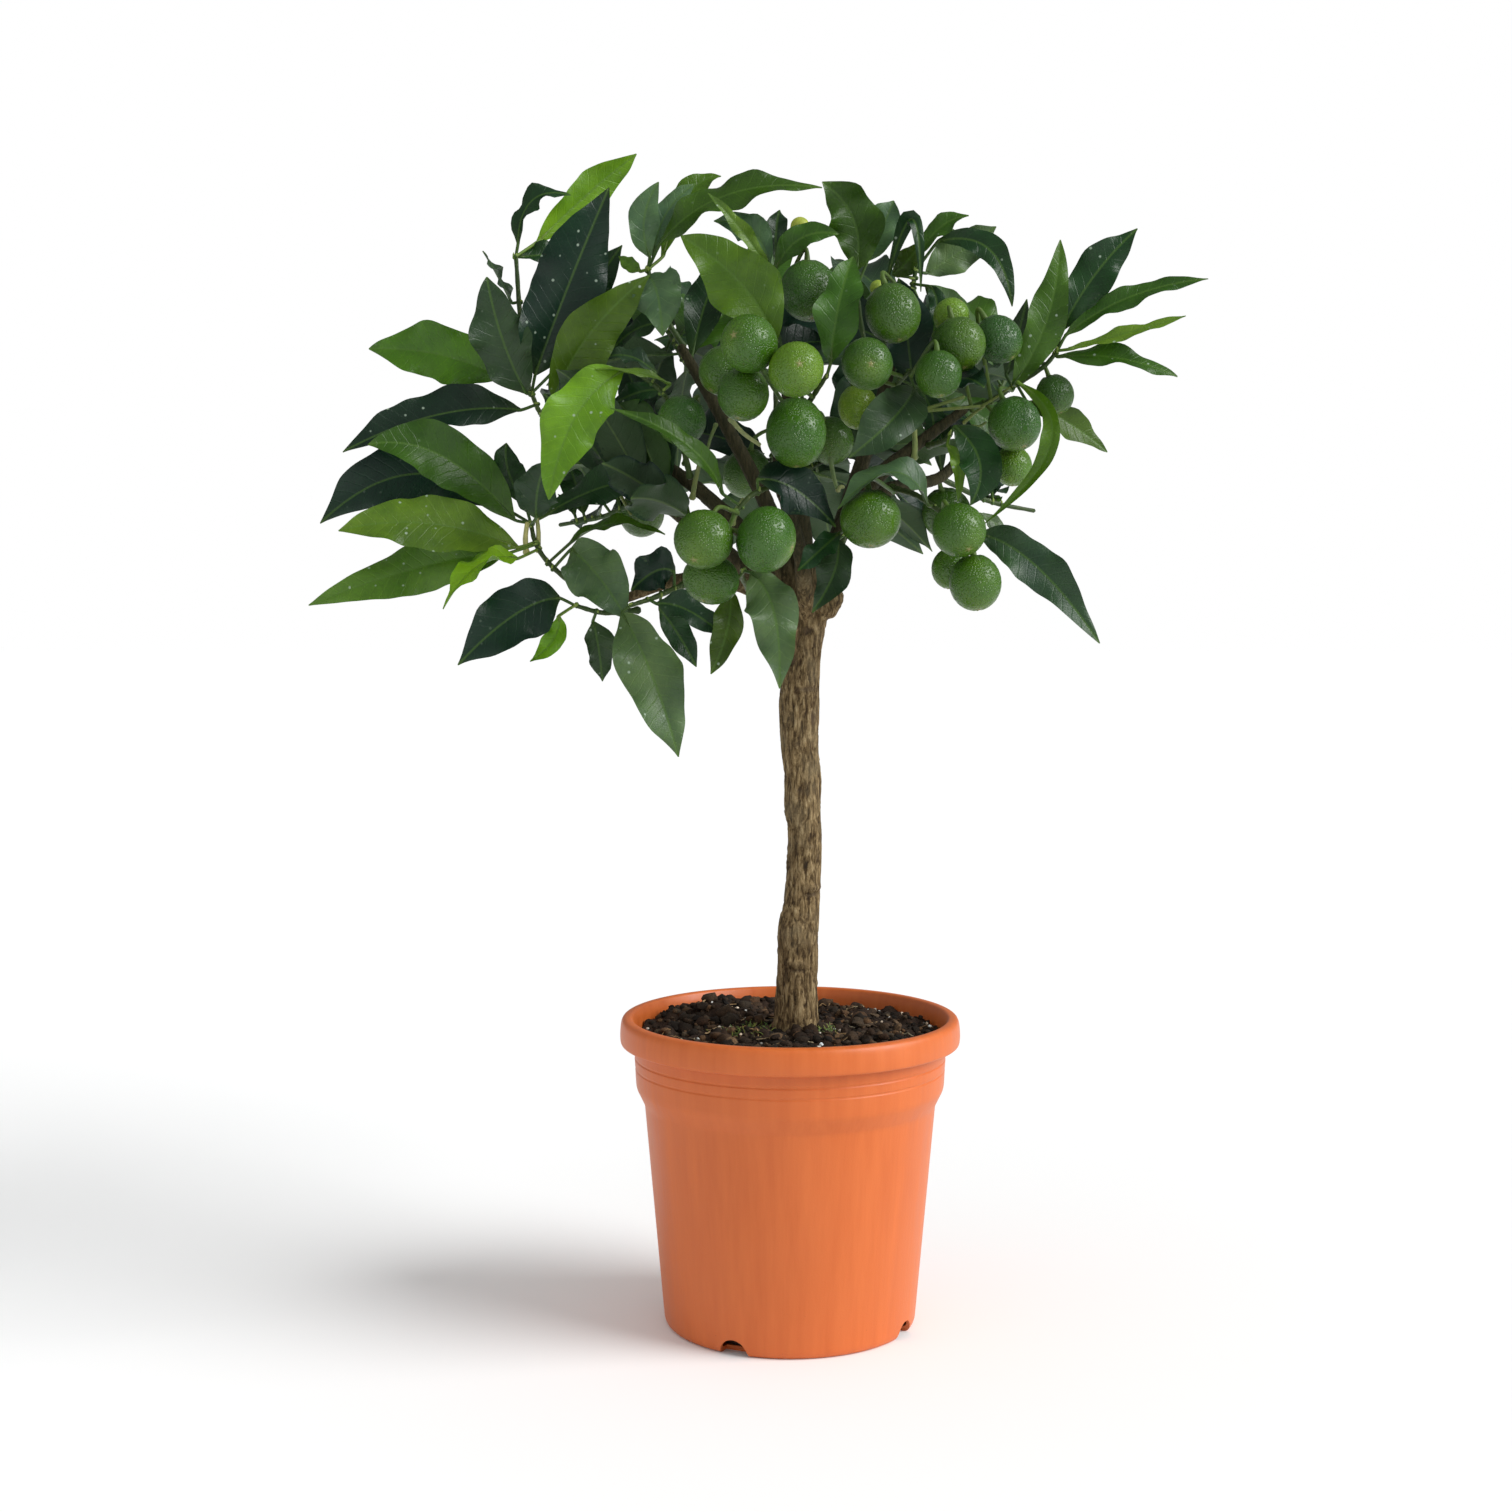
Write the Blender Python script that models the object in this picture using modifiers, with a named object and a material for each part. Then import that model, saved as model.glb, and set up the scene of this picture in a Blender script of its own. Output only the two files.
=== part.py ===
"""Potted kumquat tree: a standard tree with a lollipop crown of leaves and unripe fruit, in a plastic pot.

The origin is at the centre of the pot's underside, +Z is up and -Y is the front. Lengths are in metres,
except in the crown's plan, whose places are in millimetres.
"""

import math
import random

import bmesh
import bpy
from mathutils import Matrix, Vector
from mathutils.bvhtree import BVHTree

MM = 0.001
GAP = 0.0003

# Pot
RIM_RADIUS = 0.095
RIM_WIDTH = 0.0075
POT_HEIGHT = 0.1733
BASE_RADIUS = 0.0705
WALL = 0.0018
FLOOR = 0.0025
BAND_DEPTH = 0.0148
COLLAR_RADIUS = 0.0873
COLLAR_TAPER = 0.0013
LEDGE_TOP = 0.134
LEDGE_BOTTOM = 0.125
BODY_RADIUS = 0.0815
POT_SIDES = 36
NOTCHES = 4
NOTCH_WIDTH = 0.017
NOTCH_HEIGHT = 0.009
NOTCH_DEPTH = 0.012
NOTCH_HEADING = math.radians(-116.5)

# Soil
SOIL_TOP = 0.1625
SOIL_EDGE_TOP = 0.160
SOIL_SIDES = 24
STUMP_ROOM = 0.0012

# The front view that the crown's plan is read in, from about arm's length and a half at mid height
EYE = Vector((-0.019, -1.234, 0.4105))

# Foliage
PETIOLE_RADIUS = 0.0008
ROOT_DEPTH = 0.0007
ROOT_TRIES = 90
LEAF_THICKNESS = 0.0010
LEAF_FOLD = math.radians(9)
TWIG_RADIUS = 0.0017
STALK_RADIUS = 0.0011
CLEARANCE = 0.0012

# Fill leaves: their tones, their lengths, how many places are tried and how much smaller the last tries are
FILL_TONES = ("dark", "deep", "deep", "mid", "dull")
FILL_LENGTHS = (0.080, 0.112)
FILL_TRIES = 260
FILL_SHRINK = 0.6
FILL_PETIOLE = 0.008
LENGTH_TO_WIDTH = 0.37

# Fill leaves: how far they spread from the twig in degrees, at its end and along it, how far they droop for
# their length, how straight and square they lie, the turn from one to the next, and where along the twig
# they begin
END_SPREAD = (15, 40)
SIDE_SPREAD = (40, 75)
DROOP = (0.05, 0.60)
STRAIGHTNESS = 0.9
MOST_SKEW = 0.2
TURN_BETWEEN_LEAVES = 2.4
FIRST_LEAF_SHARE = 0.35

# Where the fill leaves may show from the front: centre and radii, across and up
CORE_CENTRE = (-0.004, 0.503)
CORE_RADII = (0.134, 0.094)

# Wood: radius at the start, radius at the end, and the places it grows through
BRANCHES = {
    "trunk": (0.0124, 0.0095, [(3, 0, 104), (3, 0, 150), (4, 0, 180), (4.5, 0, 222), (7, 0, 248),
                               (8, 0, 277), (7, 0, 304), (5, 0, 330), (5, 0, 351), (7, 0, 372),
                               (10, 0, 390), (11, 0, 396)]),
    "left_low": (0.0062, 0.0026, [(8, 0, 388), (-22, -6, 412), (-60, -8, 416), (-93, -4, 405)]),
    "left_mid": (0.0058, 0.0026, [(8, 0, 396), (-24, 4, 440), (-62, 10, 474), (-98, 12, 491)]),
    "up_left": (0.0056, 0.0026, [(10, 0, 396), (-12, 4, 455), (-38, 4, 505), (-60, 0, 543)]),
    "up_mid": (0.0054, 0.0026, [(11, 0, 398), (6, -12, 452), (0, -22, 500), (-4, -28, 536)]),
    "up_right": (0.0058, 0.0026, [(12, 0, 396), (30, 6, 452), (48, 10, 508), (60, 10, 554)]),
    "right": (0.0060, 0.0026, [(12, 0, 392), (23, -4, 432), (44, -10, 468), (68, -12, 489), (95, -8, 509)]),
    "right_stub": (0.0060, 0.0050, [(12, 0, 392), (24, -6, 408)]),
    "back": (0.0056, 0.0026, [(10, 0, 394), (2, 38, 440), (-6, 76, 478), (-8, 104, 502)]),
    "back_left": (0.0056, 0.0026, [(8, 0, 390), (-34, 44, 430), (-74, 78, 462), (-92, 96, 484)]),
    "back_right": (0.0056, 0.0026, [(12, 0, 392), (24, 18, 436), (50, 48, 464), (82, 72, 472),
                                    (98, 88, 492)]),
    "front": (0.0050, 0.0024, [(10, 0, 390), (4, -34, 438), (-8, -52, 470)]),
}

# Leaf tones, which set how dark each spray is
TONES = {
    "dark": (0.020, 0.060, 0.030), "deep": (0.030, 0.085, 0.030), "mid": (0.050, 0.130, 0.025),
    "bright": (0.110, 0.240, 0.030), "light": (0.200, 0.330, 0.090), "olive": (0.090, 0.140, 0.020),
    "yellow": (0.260, 0.360, 0.050), "dull": (0.070, 0.120, 0.070), "pale": (0.230, 0.310, 0.190),
}

# Sprays of foliage: the twig's places, then each leaf's base, middle and tip, width, turn and tone.
# A turn of 0 shows the viewer the upper side, and 90 shows it to the sky.
SPRAYS = {
    "left_low": (
        [(-96, -5, 405), (-115, -10, 411), (-131, -12, 423), (-140, -12, 435), (-143, -10, 447)],
        [((-150, -16, 434), (-200, -32, 447), (-249, -38, 443), 42, 30, "light"),
         ((-158, -18, 430), (-205, -22, 423), (-266, -26, 402), 34, 10, "light"),
         ((-150, -24, 428), (-172, -40, 424), (-192, -52, 400), 26, 60, "yellow"),
         ((-152, -10, 449), (-192, -22, 484), (-232, -30, 490), 36, 20, "mid"),
         ((-158, -2, 456), (-208, -2, 474), (-259, 0, 447), 42, 15, "dark"),
         ((-140, -24, 450), (-139, -32, 466), (-134, -38, 481), 25, 0, "dull"),
         ((-134, -12, 452), (-103, -16, 467), (-70, -18, 472), 22, 30, "deep"),
         ((-146, 0, 458), (-155, 4, 475), (-156, 10, 491), 20, 20, "deep"),
         ((-121, -18, 433), (-106, -32, 418), (-90, -40, 394), 33, 0, "pale"),
         ((-122, -12, 436), (-98, -16, 447), (-69, -18, 441), 12, 60, "olive")]),
    "left_under": (
        [(-88, -10, 399), (-104, -14, 398), (-119, -16, 402)],
        [((-127, -20, 406), (-152, -28, 397), (-184, -34, 369), 36, 10, "dark"),
         ((-128, -12, 396), (-131, -10, 383), (-144, -12, 371), 15, 10, "yellow"),
         ((-109, -6, 393), (-106, -4, 378), (-104, -2, 360), 19, 30, "dull")]),
    "left_mid": (
        [(-101, 11, 492), (-120, 6, 499), (-136, 4, 506), (-142, 4, 518)],
        [((-148, 0, 509), (-195, -6, 506), (-246, -10, 486), 30, 30, "dark"),
         ((-158, 8, 526), (-192, 12, 539), (-231, 16, 542), 37, 0, "bright"),
         ((-145, -6, 518), (-158, -14, 548), (-166, -18, 581), 33, 0, "dull"),
         ((-140, -2, 528), (-122, -10, 575), (-99, -14, 629), 42, -10, "dark"),
         ((-130, 12, 530), (-112, 10, 568), (-92, 8, 598), 28, 0, "deep"),
         ((-130, -14, 515), (-110, -24, 550), (-77, -28, 582), 31, -10, "olive")]),
    "left_top": (
        [(-144, 6, 523), (-148, 8, 560), (-150, 10, 592)],
        [((-152, 8, 567), (-160, 10, 582), (-168, 12, 595), 12, 75, "dull"),
         ((-149, 10, 599), (-141, 10, 622), (-120, 10, 625), 16, 40, "deep"),
         ((-149, 14, 592), (-130, 20, 594), (-108, 26, 600), 15, 30, "deep"),
         ((-138, 22, 600), (-110, 34, 626), (-84, 40, 647), 26, -20, "yellow")]),
    "top_left": (
        [(-61, 6, 547), (-72, 0, 565), (-78, -2, 585)],
        [((-77, -6, 592), (-80, -10, 612), (-72, -12, 632), 18, 0, "pale"),
         ((-75, 2, 592), (-68, 4, 615), (-52, 8, 631), 16, 20, "pale"),
         ((-72, -8, 598), (-35, -18, 625), (17, -20, 629), 24, 35, "mid"),
         ((-70, 10, 592), (-56, 22, 625), (-38, 26, 635), 18, 20, "bright"),
         ((-82, 2, 584), (-88, 4, 588), (-94, 6, 592), 10, 0, "light"),
         ((-78, -14, 581), (-73, -36, 572), (-70, -54, 549), 29, 0, "pale"),
         ((-68, 6, 556), (-84, 10, 553), (-98, 14, 541), 14, 30, "deep")]),
    "centre_left": (
        [(-56, -10, 476), (-62, -26, 500), (-70, -34, 518), (-84, -38, 529)],
        [((-92, -42, 530), (-118, -56, 505), (-133, -62, 460), 38, 0, "yellow"),
         ((-66, -36, 523), (-85, -44, 530), (-111, -50, 531), 9, 60, "light"),
         ((-74, -26, 529), (-88, -22, 538), (-103, -18, 537), 12, 40, "dull"),
         ((-70, -24, 520), (-85, -18, 518), (-100, -10, 510), 14, 20, "deep")]),
    "fruit_low": (
        [(-10, -57, 468), (-22, -64, 462), (-31, -68, 452)],
        [((-37, -64, 463), (-58, -92, 491), (-99, -92, 510), 13, 35, "mid"),
         ((-18, -66, 471), (2, -68, 466), (25, -78, 445), 28, 25, "dark")]),
    "hang_left": (
        [(-62, -20, 412), (-76, -34, 406), (-88, -42, 402)],
        [((-93, -46, 398), (-76, -60, 362), (-62, -64, 318), 34, 10, "pale"),
         ((-74, -40, 403), (-56, -46, 399), (-35, -50, 383), 18, 30, "dull"),
         ((-72, -26, 400), (-62, -22, 386), (-52, -20, 368), 16, 10, "deep"),
         ((-64, -26, 420), (-74, -28, 421), (-88, -24, 410), 24, 10, "dark")]),
    "hang_mid": (
        [(-24, -21, 413), (-27, -34, 418), (-26, -46, 421)],
        [((-22, -52, 420), (-9, -66, 398), (-6, -72, 356), 28, 0, "pale"),
         ((-33, -48, 411), (-35, -52, 388), (-44, -54, 364), 17, 0, "olive")]),
    "over_trunk": (
        [(25, -14, 414), (28, -24, 430), (30, -32, 443)],
        [((26, -36, 438), (24, -38, 420), (12, -40, 398), 20, 10, "dull"),
         ((27, -40, 442), (16, -50, 432), (4, -54, 421), 14, 20, "deep")]),
    "low_right": (
        [(58, -17, 466), (70, -32, 462), (82, -40, 454), (97, -35, 447)],
        [((76, -46, 457), (56, -58, 475), (26, -64, 455), 26, 60, "pale"),
         ((104, -28, 441), (135, -36, 424), (171, -44, 381), 25, 10, "dull"),
         ((104, -22, 452), (114, -18, 446), (126, -14, 434), 9, 30, "pale")]),
    "right_low": (
        [(78, -18, 490), (84, -28, 492), (88, -34, 496)],
        [((90, -36, 500), (104, -46, 480), (99, -50, 457), 24, 0, "deep"),
         ((86, -38, 490), (92, -44, 478), (92, -48, 459), 9, 0, "light")]),
    "right_cluster": (
        [(98, -5, 510), (110, -8, 514), (121, -10, 521), (138, -14, 532), (146, -16, 541)],
        [((122, -18, 523), (140, -28, 558), (147, -30, 601), 23, 0, "mid"),
         ((148, -16, 552), (166, -16, 582), (189, -14, 607), 25, 10, "deep"),
         ((150, -20, 549), (185, -26, 570), (228, -28, 580), 15, 35, "mid"),
         ((152, -26, 542), (185, -36, 551), (216, -40, 560), 11, 40, "light"),
         ((146, -22, 538), (180, -34, 537), (212, -36, 527), 17, 40, "mid"),
         ((118, -2, 528), (124, 4, 548), (129, 8, 569), 14, 20, "dull"),
         ((130, -10, 513), (152, -14, 502), (174, -18, 486), 18, 20, "olive"),
         ((124, -36, 524), (143, -62, 492), (107, -42, 447), 11, 20, "bright")]),
    "centre_right": (
        [(56, 2, 520), (62, -14, 527), (66, -22, 530)],
        [((68, -36, 521), (56, -72, 504), (32, -76, 483), 29, 0, "dull"),
         ((70, -24, 521), (78, -28, 505), (76, -32, 488), 14, 0, "deep")]),
    "top_right": (
        [(61, 15, 557), (66, 8, 572), (68, 6, 584)],
        [((52, -2, 577), (66, -20, 612), (71, -24, 573), 9, 10, "deep"),
         ((56, 6, 582), (64, -4, 590), (72, -12, 600), 14, 10, "olive"),
         ((70, 4, 593), (82, 2, 608), (97, 0, 614), 14, 30, "mid"),
         ((74, 14, 583), (92, 20, 594), (112, 24, 608), 24, 0, "pale"),
         ((80, 2, 600), (108, -8, 596), (121, -10, 565), 16, 10, "deep"),
         ((76, 0, 576), (80, -8, 566), (78, -14, 551), 10, 0, "deep")]),
    "top_mid": (
        [(50, 16, 519), (40, 18, 548), (36, 16, 575)],
        [((36, 8, 585), (34, 6, 612), (17, 2, 632), 32, 0, "mid"),
         ((42, 18, 590), (50, 20, 608), (56, 22, 622), 22, 0, "pale")]),
    "centre_top": (
        [(-5, -30, 539), (-9, -38, 560), (-10, -36, 580)],
        [((-8, -64, 547), (-28, -68, 578), (-60, -70, 603), 40, 0, "bright"),
         ((-12, -40, 584), (-26, -48, 605), (-45, -50, 626), 10, 10, "light"),
         ((-8, -32, 586), (6, -38, 602), (26, -40, 604), 17, 20, "mid"),
         ((-12, -22, 588), (-22, -14, 606), (-42, -8, 611), 18, 0, "pale"),
         ((-8, -18, 590), (-8, -12, 606), (-6, -8, 617), 14, 0, "dull")]),
    "centre_front": (
        [(3, -30, 502), (12, -48, 516), (20, -56, 528)],
        [((22, -60, 535), (26, -66, 565), (34, -50, 592), 26, 10, "mid")]),
}

# Sprays that fill the sides and the back: where the twig starts, its heading (0 is +X, 90 the back),
# its climb in degrees, its length in millimetres and how many leaves it carries
FILL_SPRAYS = {
    "back_low": ((-8, 100, 497), 95, -30, 70, 8),
    "back_top": ((-8, 108, 505), 90, 45, 80, 10),
    "back_mid": ((-4, 70, 474), 60, 10, 80, 9),
    "back_left_low": ((-76, 80, 463), 150, -20, 70, 8),
    "back_left_top": ((-94, 99, 487), 130, 45, 75, 10),
    "back_right_low": ((84, 74, 471), 30, -20, 70, 8),
    "back_right_top": ((100, 91, 495), 50, 45, 75, 10),
    "upper_left": ((-47, 3, 521), 115, 30, 60, 9),
    "upper_right": ((54, 10, 532), 70, 30, 60, 9),
    "inner_left": ((-30, 5, 446), 190, 10, 60, 10),
    "inner_right": ((46, 8, 498), -20, 30, 50, 8),
}

# Kumquats: centre, width, length, the way the flower end faces, and where the stalk starts
KUMQUATS = [
    ((-23, -92, 545), 29, 31, (-0.5, -0.8, 0.2), (-3, -27, 524)),
    ((3, -84, 531), 28, 31, (0.1, -1.0, 0.1), (12, -48, 516)),
    ((-26, -76, 517), 27, 28, (-0.2, -0.3, -0.9), (-1, -24, 508)),
    ((3, -80, 496), 32, 37, (0.0, -0.2, -1.0), (8, -40, 510)),
    ((-37, -50, 530), 26, 27, (-0.5, -0.3, -0.8), (-3, -27, 526)),
    ((10, -38, 573), 31, 33, (0.1, -0.3, -0.9), (-8, -31, 562)),
    ((56, -58, 561), 29, 32, (0.2, -0.3, -0.9), (65, 9, 568)),
    ((42, -66, 534), 27, 28, (0.1, -1.0, -0.1), (62, -14, 527)),
    ((37, -36, 510), 22, 24, (0.1, -0.2, -1.0), (58, -4, 522)),
    ((92, -46, 544), 29, 29, (0.2, -0.4, -0.9), (99, -8, 511)),
    ((114, -30, 547), 25, 27, (0.5, -0.3, -0.7), (110, -9, 514)),
    ((81, -40, 528), 24, 25, (0.1, -0.3, -0.9), (66, -20, 528)),
    ((88, -30, 560), 19, 20, (0.4, -0.2, 0.6), (67, 8, 574)),
    ((145, -16, 517), 21, 22, (0.3, -0.2, -0.9), (138, -14, 531)),
    ((123, -36, 501), 28, 30, (0.3, -0.4, -0.8), (121, -10, 520)),
    ((122, -34, 478), 21, 22, (0.0, -0.2, -1.0), (107, -8, 512)),
    ((93, -66, 443), 28, 29, (0.3, -0.6, -0.7), (84, -39, 453)),
    ((102, -66, 414), 28, 30, (0.1, -0.2, -1.0), (86, -39, 450)),
    ((89, -50, 422), 22, 23, (-0.2, -0.1, -1.0), (91, -37, 447)),
    ((44, -54, 449), 32, 31, (0.0, -0.3, -0.9), (57, -14, 464)),
    ((-48, -96, 438), 30, 31, (-0.3, -0.6, -0.7), (-30, -68, 453)),
    ((-13, -100, 438), 34, 30, (0.9, -0.3, -0.3), (-29, -68, 454)),
    ((-44, -84, 416), 30, 26, (-0.3, -0.3, -0.9), (-31, -68, 452)),
    ((-60, -48, 503), 26, 27, (-0.4, -0.6, -0.6), (-58, -10, 482)),
    ((-24, 122, 474), 29, 31, (-0.2, 0.4, -0.9), (-8, 104, 500)),
    ((-82, 122, 452), 27, 29, (-0.3, 0.4, -0.8), (-88, 93, 480)),
    ((86, 116, 452), 30, 32, (0.2, 0.4, -0.9), (92, 84, 484)),
    ((22, 116, 492), 28, 29, (0.4, 0.6, -0.7), (-4, 72, 476)),
]


def placed(place):
    """A plan place, read in the plane of the trunk, slid along the line of sight to its own depth."""
    across, deep, high = (value * MM for value in place)
    return EYE + (Vector((across, 0, high)) - EYE) * (1 + deep / -EYE.y)


def seen(point):
    """Where a point shows in the plane of the trunk, seen from the front."""
    return EYE + (point - EYE) * (-EYE.y / (point.y - EYE.y))


def smooth_route(points, pieces=4):
    """A Catmull-Rom curve through the points."""
    padded = [2 * points[0] - points[1], *points, 2 * points[-1] - points[-2]]
    route = []
    for a, b, c, d in zip(padded, padded[1:], padded[2:], padded[3:]):
        for step in range(pieces):
            t = step / pieces
            route.append(0.5 * (2 * b + (c - a) * t + (2 * a - 5 * b + 4 * c - d) * t * t
                                + (3 * b - a - 3 * c + d) * t ** 3))
    return route + [points[-1]]


def tapered(route, start, end):
    """A radius for each place on a route."""
    last = len(route) - 1
    return [start + (end - start) * index / last for index in range(last + 1)]


def nearest_on(route, point):
    """The place on a route nearest to a point, and how far along it is, from 0 to 1."""
    best = None
    for index, (a, b) in enumerate(zip(route, route[1:])):
        share = max(0.0, min(1.0, (point - a).dot(b - a) / (b - a).length_squared))
        place = a + (b - a) * share
        if best is None or (place - point).length < best[0]:
            best = ((place - point).length, place, (index + share) / (len(route) - 1))
    return best[1], best[2]


def tube_shape(route, radii, sides=6):
    """Corners and faces of a closed tube, for testing where things touch."""
    corners, faces = [], []
    for index, (point, radius) in enumerate(zip(route, radii)):
        ahead = route[min(index + 1, len(route) - 1)] - route[max(index - 1, 0)]
        side = ahead.cross(Vector((0.3, 0.2, 1))).normalized()
        over = ahead.cross(side).normalized()
        for turn in range(sides):
            angle = math.tau * turn / sides
            corners.append(point + radius * (math.cos(angle) * side + math.sin(angle) * over))
    for ring in range(len(route) - 1):
        for turn in range(sides):
            a, b = ring * sides + turn, ring * sides + (turn + 1) % sides
            faces.append((a, b, b + sides, a + sides))
    faces.append(tuple(reversed(range(sides))))
    faces.append(tuple(range(len(corners) - sides, len(corners))))
    return corners, faces


class Leaf:
    """A blade on a petiole: a parabola from base to tip with a width, a turn about it and a tone."""

    def __init__(self, root, base, middle, tip, width, turn, tone, facing):
        self.root, self.base, self.middle, self.tip = root, base, middle, tip
        self.width, self.turn, self.tone, self.facing = width, turn, tone, facing
        over = (tip - base).cross(facing)
        self.hand = -1 if over.z < 0 else 1

    def at(self, t):
        """The midrib's place, and the blade's side and upper directions there."""
        bend = 2 * self.middle - (self.base + self.tip) / 2
        place = (1 - t) ** 2 * self.base + 2 * t * (1 - t) * bend + t * t * self.tip
        ahead = ((1 - t) * (bend - self.base) + t * (self.tip - bend)).normalized()
        front = (self.facing - self.facing.dot(ahead) * ahead).normalized()
        over = self.hand * ahead.cross(front)
        upper = math.cos(self.turn) * front + math.sin(self.turn) * over
        return place, upper.cross(ahead), upper

    def half_width(self, t):
        return self.width / 2 * math.sin(math.pi * t ** 0.9) ** 0.85

    def ring(self, t, thickness, extra):
        """Left edge, top, right edge and underside of the blade at t."""
        place, side, upper = self.at(t)
        half = self.half_width(t) + extra
        rise = upper * (half * math.tan(LEAF_FOLD))
        return [place - side * half + rise, place + upper * thickness / 2,
                place + side * half + rise, place - upper * thickness / 2]

    def petiole_ring(self, place, ahead, radius):
        """Four corners of the petiole, square to the way that it runs."""
        side = self.at(0)[1]
        side = (side - side.dot(ahead) * ahead).normalized()
        upper = ahead.cross(side)
        return [place - side * radius, place + upper * radius, place + side * radius, place - upper * radius]

    def shape(self, first=None, extra=0.0):
        """Corners and faces of the closed leaf. With first, the blade from there on, with no petiole."""
        thickness = LEAF_THICKNESS + 2 * extra
        rings = []
        if first is None:
            way = (self.base - self.root).normalized()
            ahead = self.at(0)[1].cross(self.at(0)[2])
            rings.append(self.petiole_ring(self.root, way, PETIOLE_RADIUS + extra))
            rings.append(self.petiole_ring(self.base, (way + ahead).normalized(), PETIOLE_RADIUS + extra))
        rings += [self.ring(t, thickness, extra) for t in (first or 0.24, 0.52, 0.80)]
        corners = [corner for ring in rings for corner in ring] + [self.tip]
        faces = [(3, 2, 1, 0)]
        for start in range(0, 4 * len(rings) - 4, 4):
            for corner in range(4):
                a, b = start + corner, start + (corner + 1) % 4
                # Every diagonal runs from an edge to the midrib, so that top and underside never cross
                if corner % 2:
                    faces += [(a, b, a + 4), (b, b + 4, a + 4)]
                else:
                    faces += [(a, b, b + 4), (a, b + 4, a + 4)]
        start = 4 * len(rings) - 4
        faces += [(start + corner, start + (corner + 1) % 4, len(corners) - 1) for corner in range(4)]
        return corners, faces


class Thicket:
    """Everything grown so far, to keep each new piece clear of it."""

    def __init__(self):
        self.pieces = []

    def add(self, owner, shape, blade=None):
        self.pieces.append((owner, self.solid(shape), self.solid(blade) if blade else None))

    @staticmethod
    def solid(shape):
        corners, faces = shape
        low = Vector(min(corner[axis] for corner in corners) for axis in range(3))
        high = Vector(max(corner[axis] for corner in corners) for axis in range(3))
        return BVHTree.FromPolygons(corners, faces), low, high

    @staticmethod
    def meet(first, second):
        if any(first[1][axis] > second[2][axis] or second[1][axis] > first[2][axis] for axis in range(3)):
            return False
        return bool(first[0].overlap(second[0]))

    def is_clear(self, owner, shape, blade=None, apart=False):
        """Whether a piece is clear of other owners' pieces, and its blade of its owner's blades.

        With apart, each blade is also clear of the whole of its owner's other leaves, and of the twig.
        """
        solid = self.solid(shape)
        inner = self.solid(blade) if blade else None
        for other, whole, other_blade in self.pieces:
            if other != owner:
                if self.meet(solid, whole):
                    return False
            elif inner and other_blade and self.meet(inner, other_blade):
                return False
            elif apart and (self.meet(inner, whole) or (other_blade and self.meet(solid, other_blade))):
                return False
        return True


def either_way(step, count):
    """0, then steps away to one side and the other, growing."""
    shifts = [0.0]
    for index in range(1, count + 1):
        shifts += [index * step, -index * step]
    return shifts


def trimmed(route, length):
    """The route without its first stretch."""
    for index, (a, b) in enumerate(zip(route, route[1:])):
        step = (b - a).length
        if length < step:
            return [a + (b - a) * (length / step), *route[index + 1:]]
        length -= step
    return None


def rooted(owner, route, start, end, thicket):
    """The route of a twig or stalk from where it just clears the wood that it grows from, and its radii."""
    for step in range(ROOT_TRIES):
        rest = trimmed(route, step * GAP)
        if rest is None or len(rest) < 3:
            return None
        radii = tapered(rest, start, end)
        if thicket.is_clear(owner, tube_shape(rest, [radius + GAP for radius in radii])):
            return rest, radii
    return None


def ellipsoid_shape(centre, facing, width, length, sides=10, rings=6):
    """Corners and faces of an egg-round body whose long axis lies along facing."""
    side = facing.cross(Vector((0.3, 0.2, 1))).normalized()
    over = facing.cross(side)
    corners = [centre - facing * length / 2]
    for ring in range(1, rings):
        angle = math.pi * ring / rings
        for turn in range(sides):
            around = math.tau * turn / sides
            out = math.cos(around) * side + math.sin(around) * over
            corners.append(centre - facing * math.cos(angle) * length / 2 + out * math.sin(angle) * width / 2)
    corners.append(centre + facing * length / 2)
    faces = [(0, 1 + (turn + 1) % sides, 1 + turn) for turn in range(sides)]
    for ring in range(rings - 2):
        for turn in range(sides):
            a, b = 1 + ring * sides + turn, 1 + ring * sides + (turn + 1) % sides
            faces.append((a, b, b + sides, a + sides))
    end = len(corners) - 1
    faces += [(end, end - sides + turn, end - sides + (turn + 1) % sides) for turn in range(sides)]
    return corners, faces


def grow_wood(thicket):
    """The trunk and its branches, each a route with its radii."""
    wood = {}
    for name, (start, end, places) in BRANCHES.items():
        route = smooth_route([placed(place) for place in places], 3)
        wood[name] = route, tapered(route, start, end)
        thicket.add("tree", tube_shape(*wood[name], 8))
    return wood


def grow_twig(name, places, thicket):
    """Grows the twig of a planned spray from where it clears the wood."""
    route = smooth_route([placed(place) for place in places], 3)
    found = rooted(name, route, TWIG_RADIUS, TWIG_RADIUS * 0.7, thicket)
    if not found:
        raise RuntimeError(f"the twig of {name} is never clear of its neighbours")
    thicket.add(name, tube_shape(*found))
    return found


def grow_kumquat(name, plan, thicket):
    """Hangs a fruit at its place, a little nearer or farther if its neighbours need the room."""
    (across, deep, high), width, length, facing, root = plan
    width, length, facing = width * MM, length * MM, Vector(facing).normalized()
    for shift in either_way(3, 16):
        centre = placed((across, deep + shift, high))
        body = ellipsoid_shape(centre, facing, width + 2 * CLEARANCE, length + 2 * CLEARANCE)
        if not thicket.is_clear(name, body):
            continue
        neck = centre - facing * length / 2
        stalk = smooth_route([placed(root), neck - facing * length / 4, centre - facing * length / 4], 3)
        found = rooted(name, stalk, STALK_RADIUS, STALK_RADIUS * 1.3, thicket)
        if found:
            thicket.add(name, ellipsoid_shape(centre, facing, width, length))
            thicket.add(name, tube_shape(*found))
            return centre, facing, width, length, found
    raise RuntimeError(f"{name} finds no room")


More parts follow.
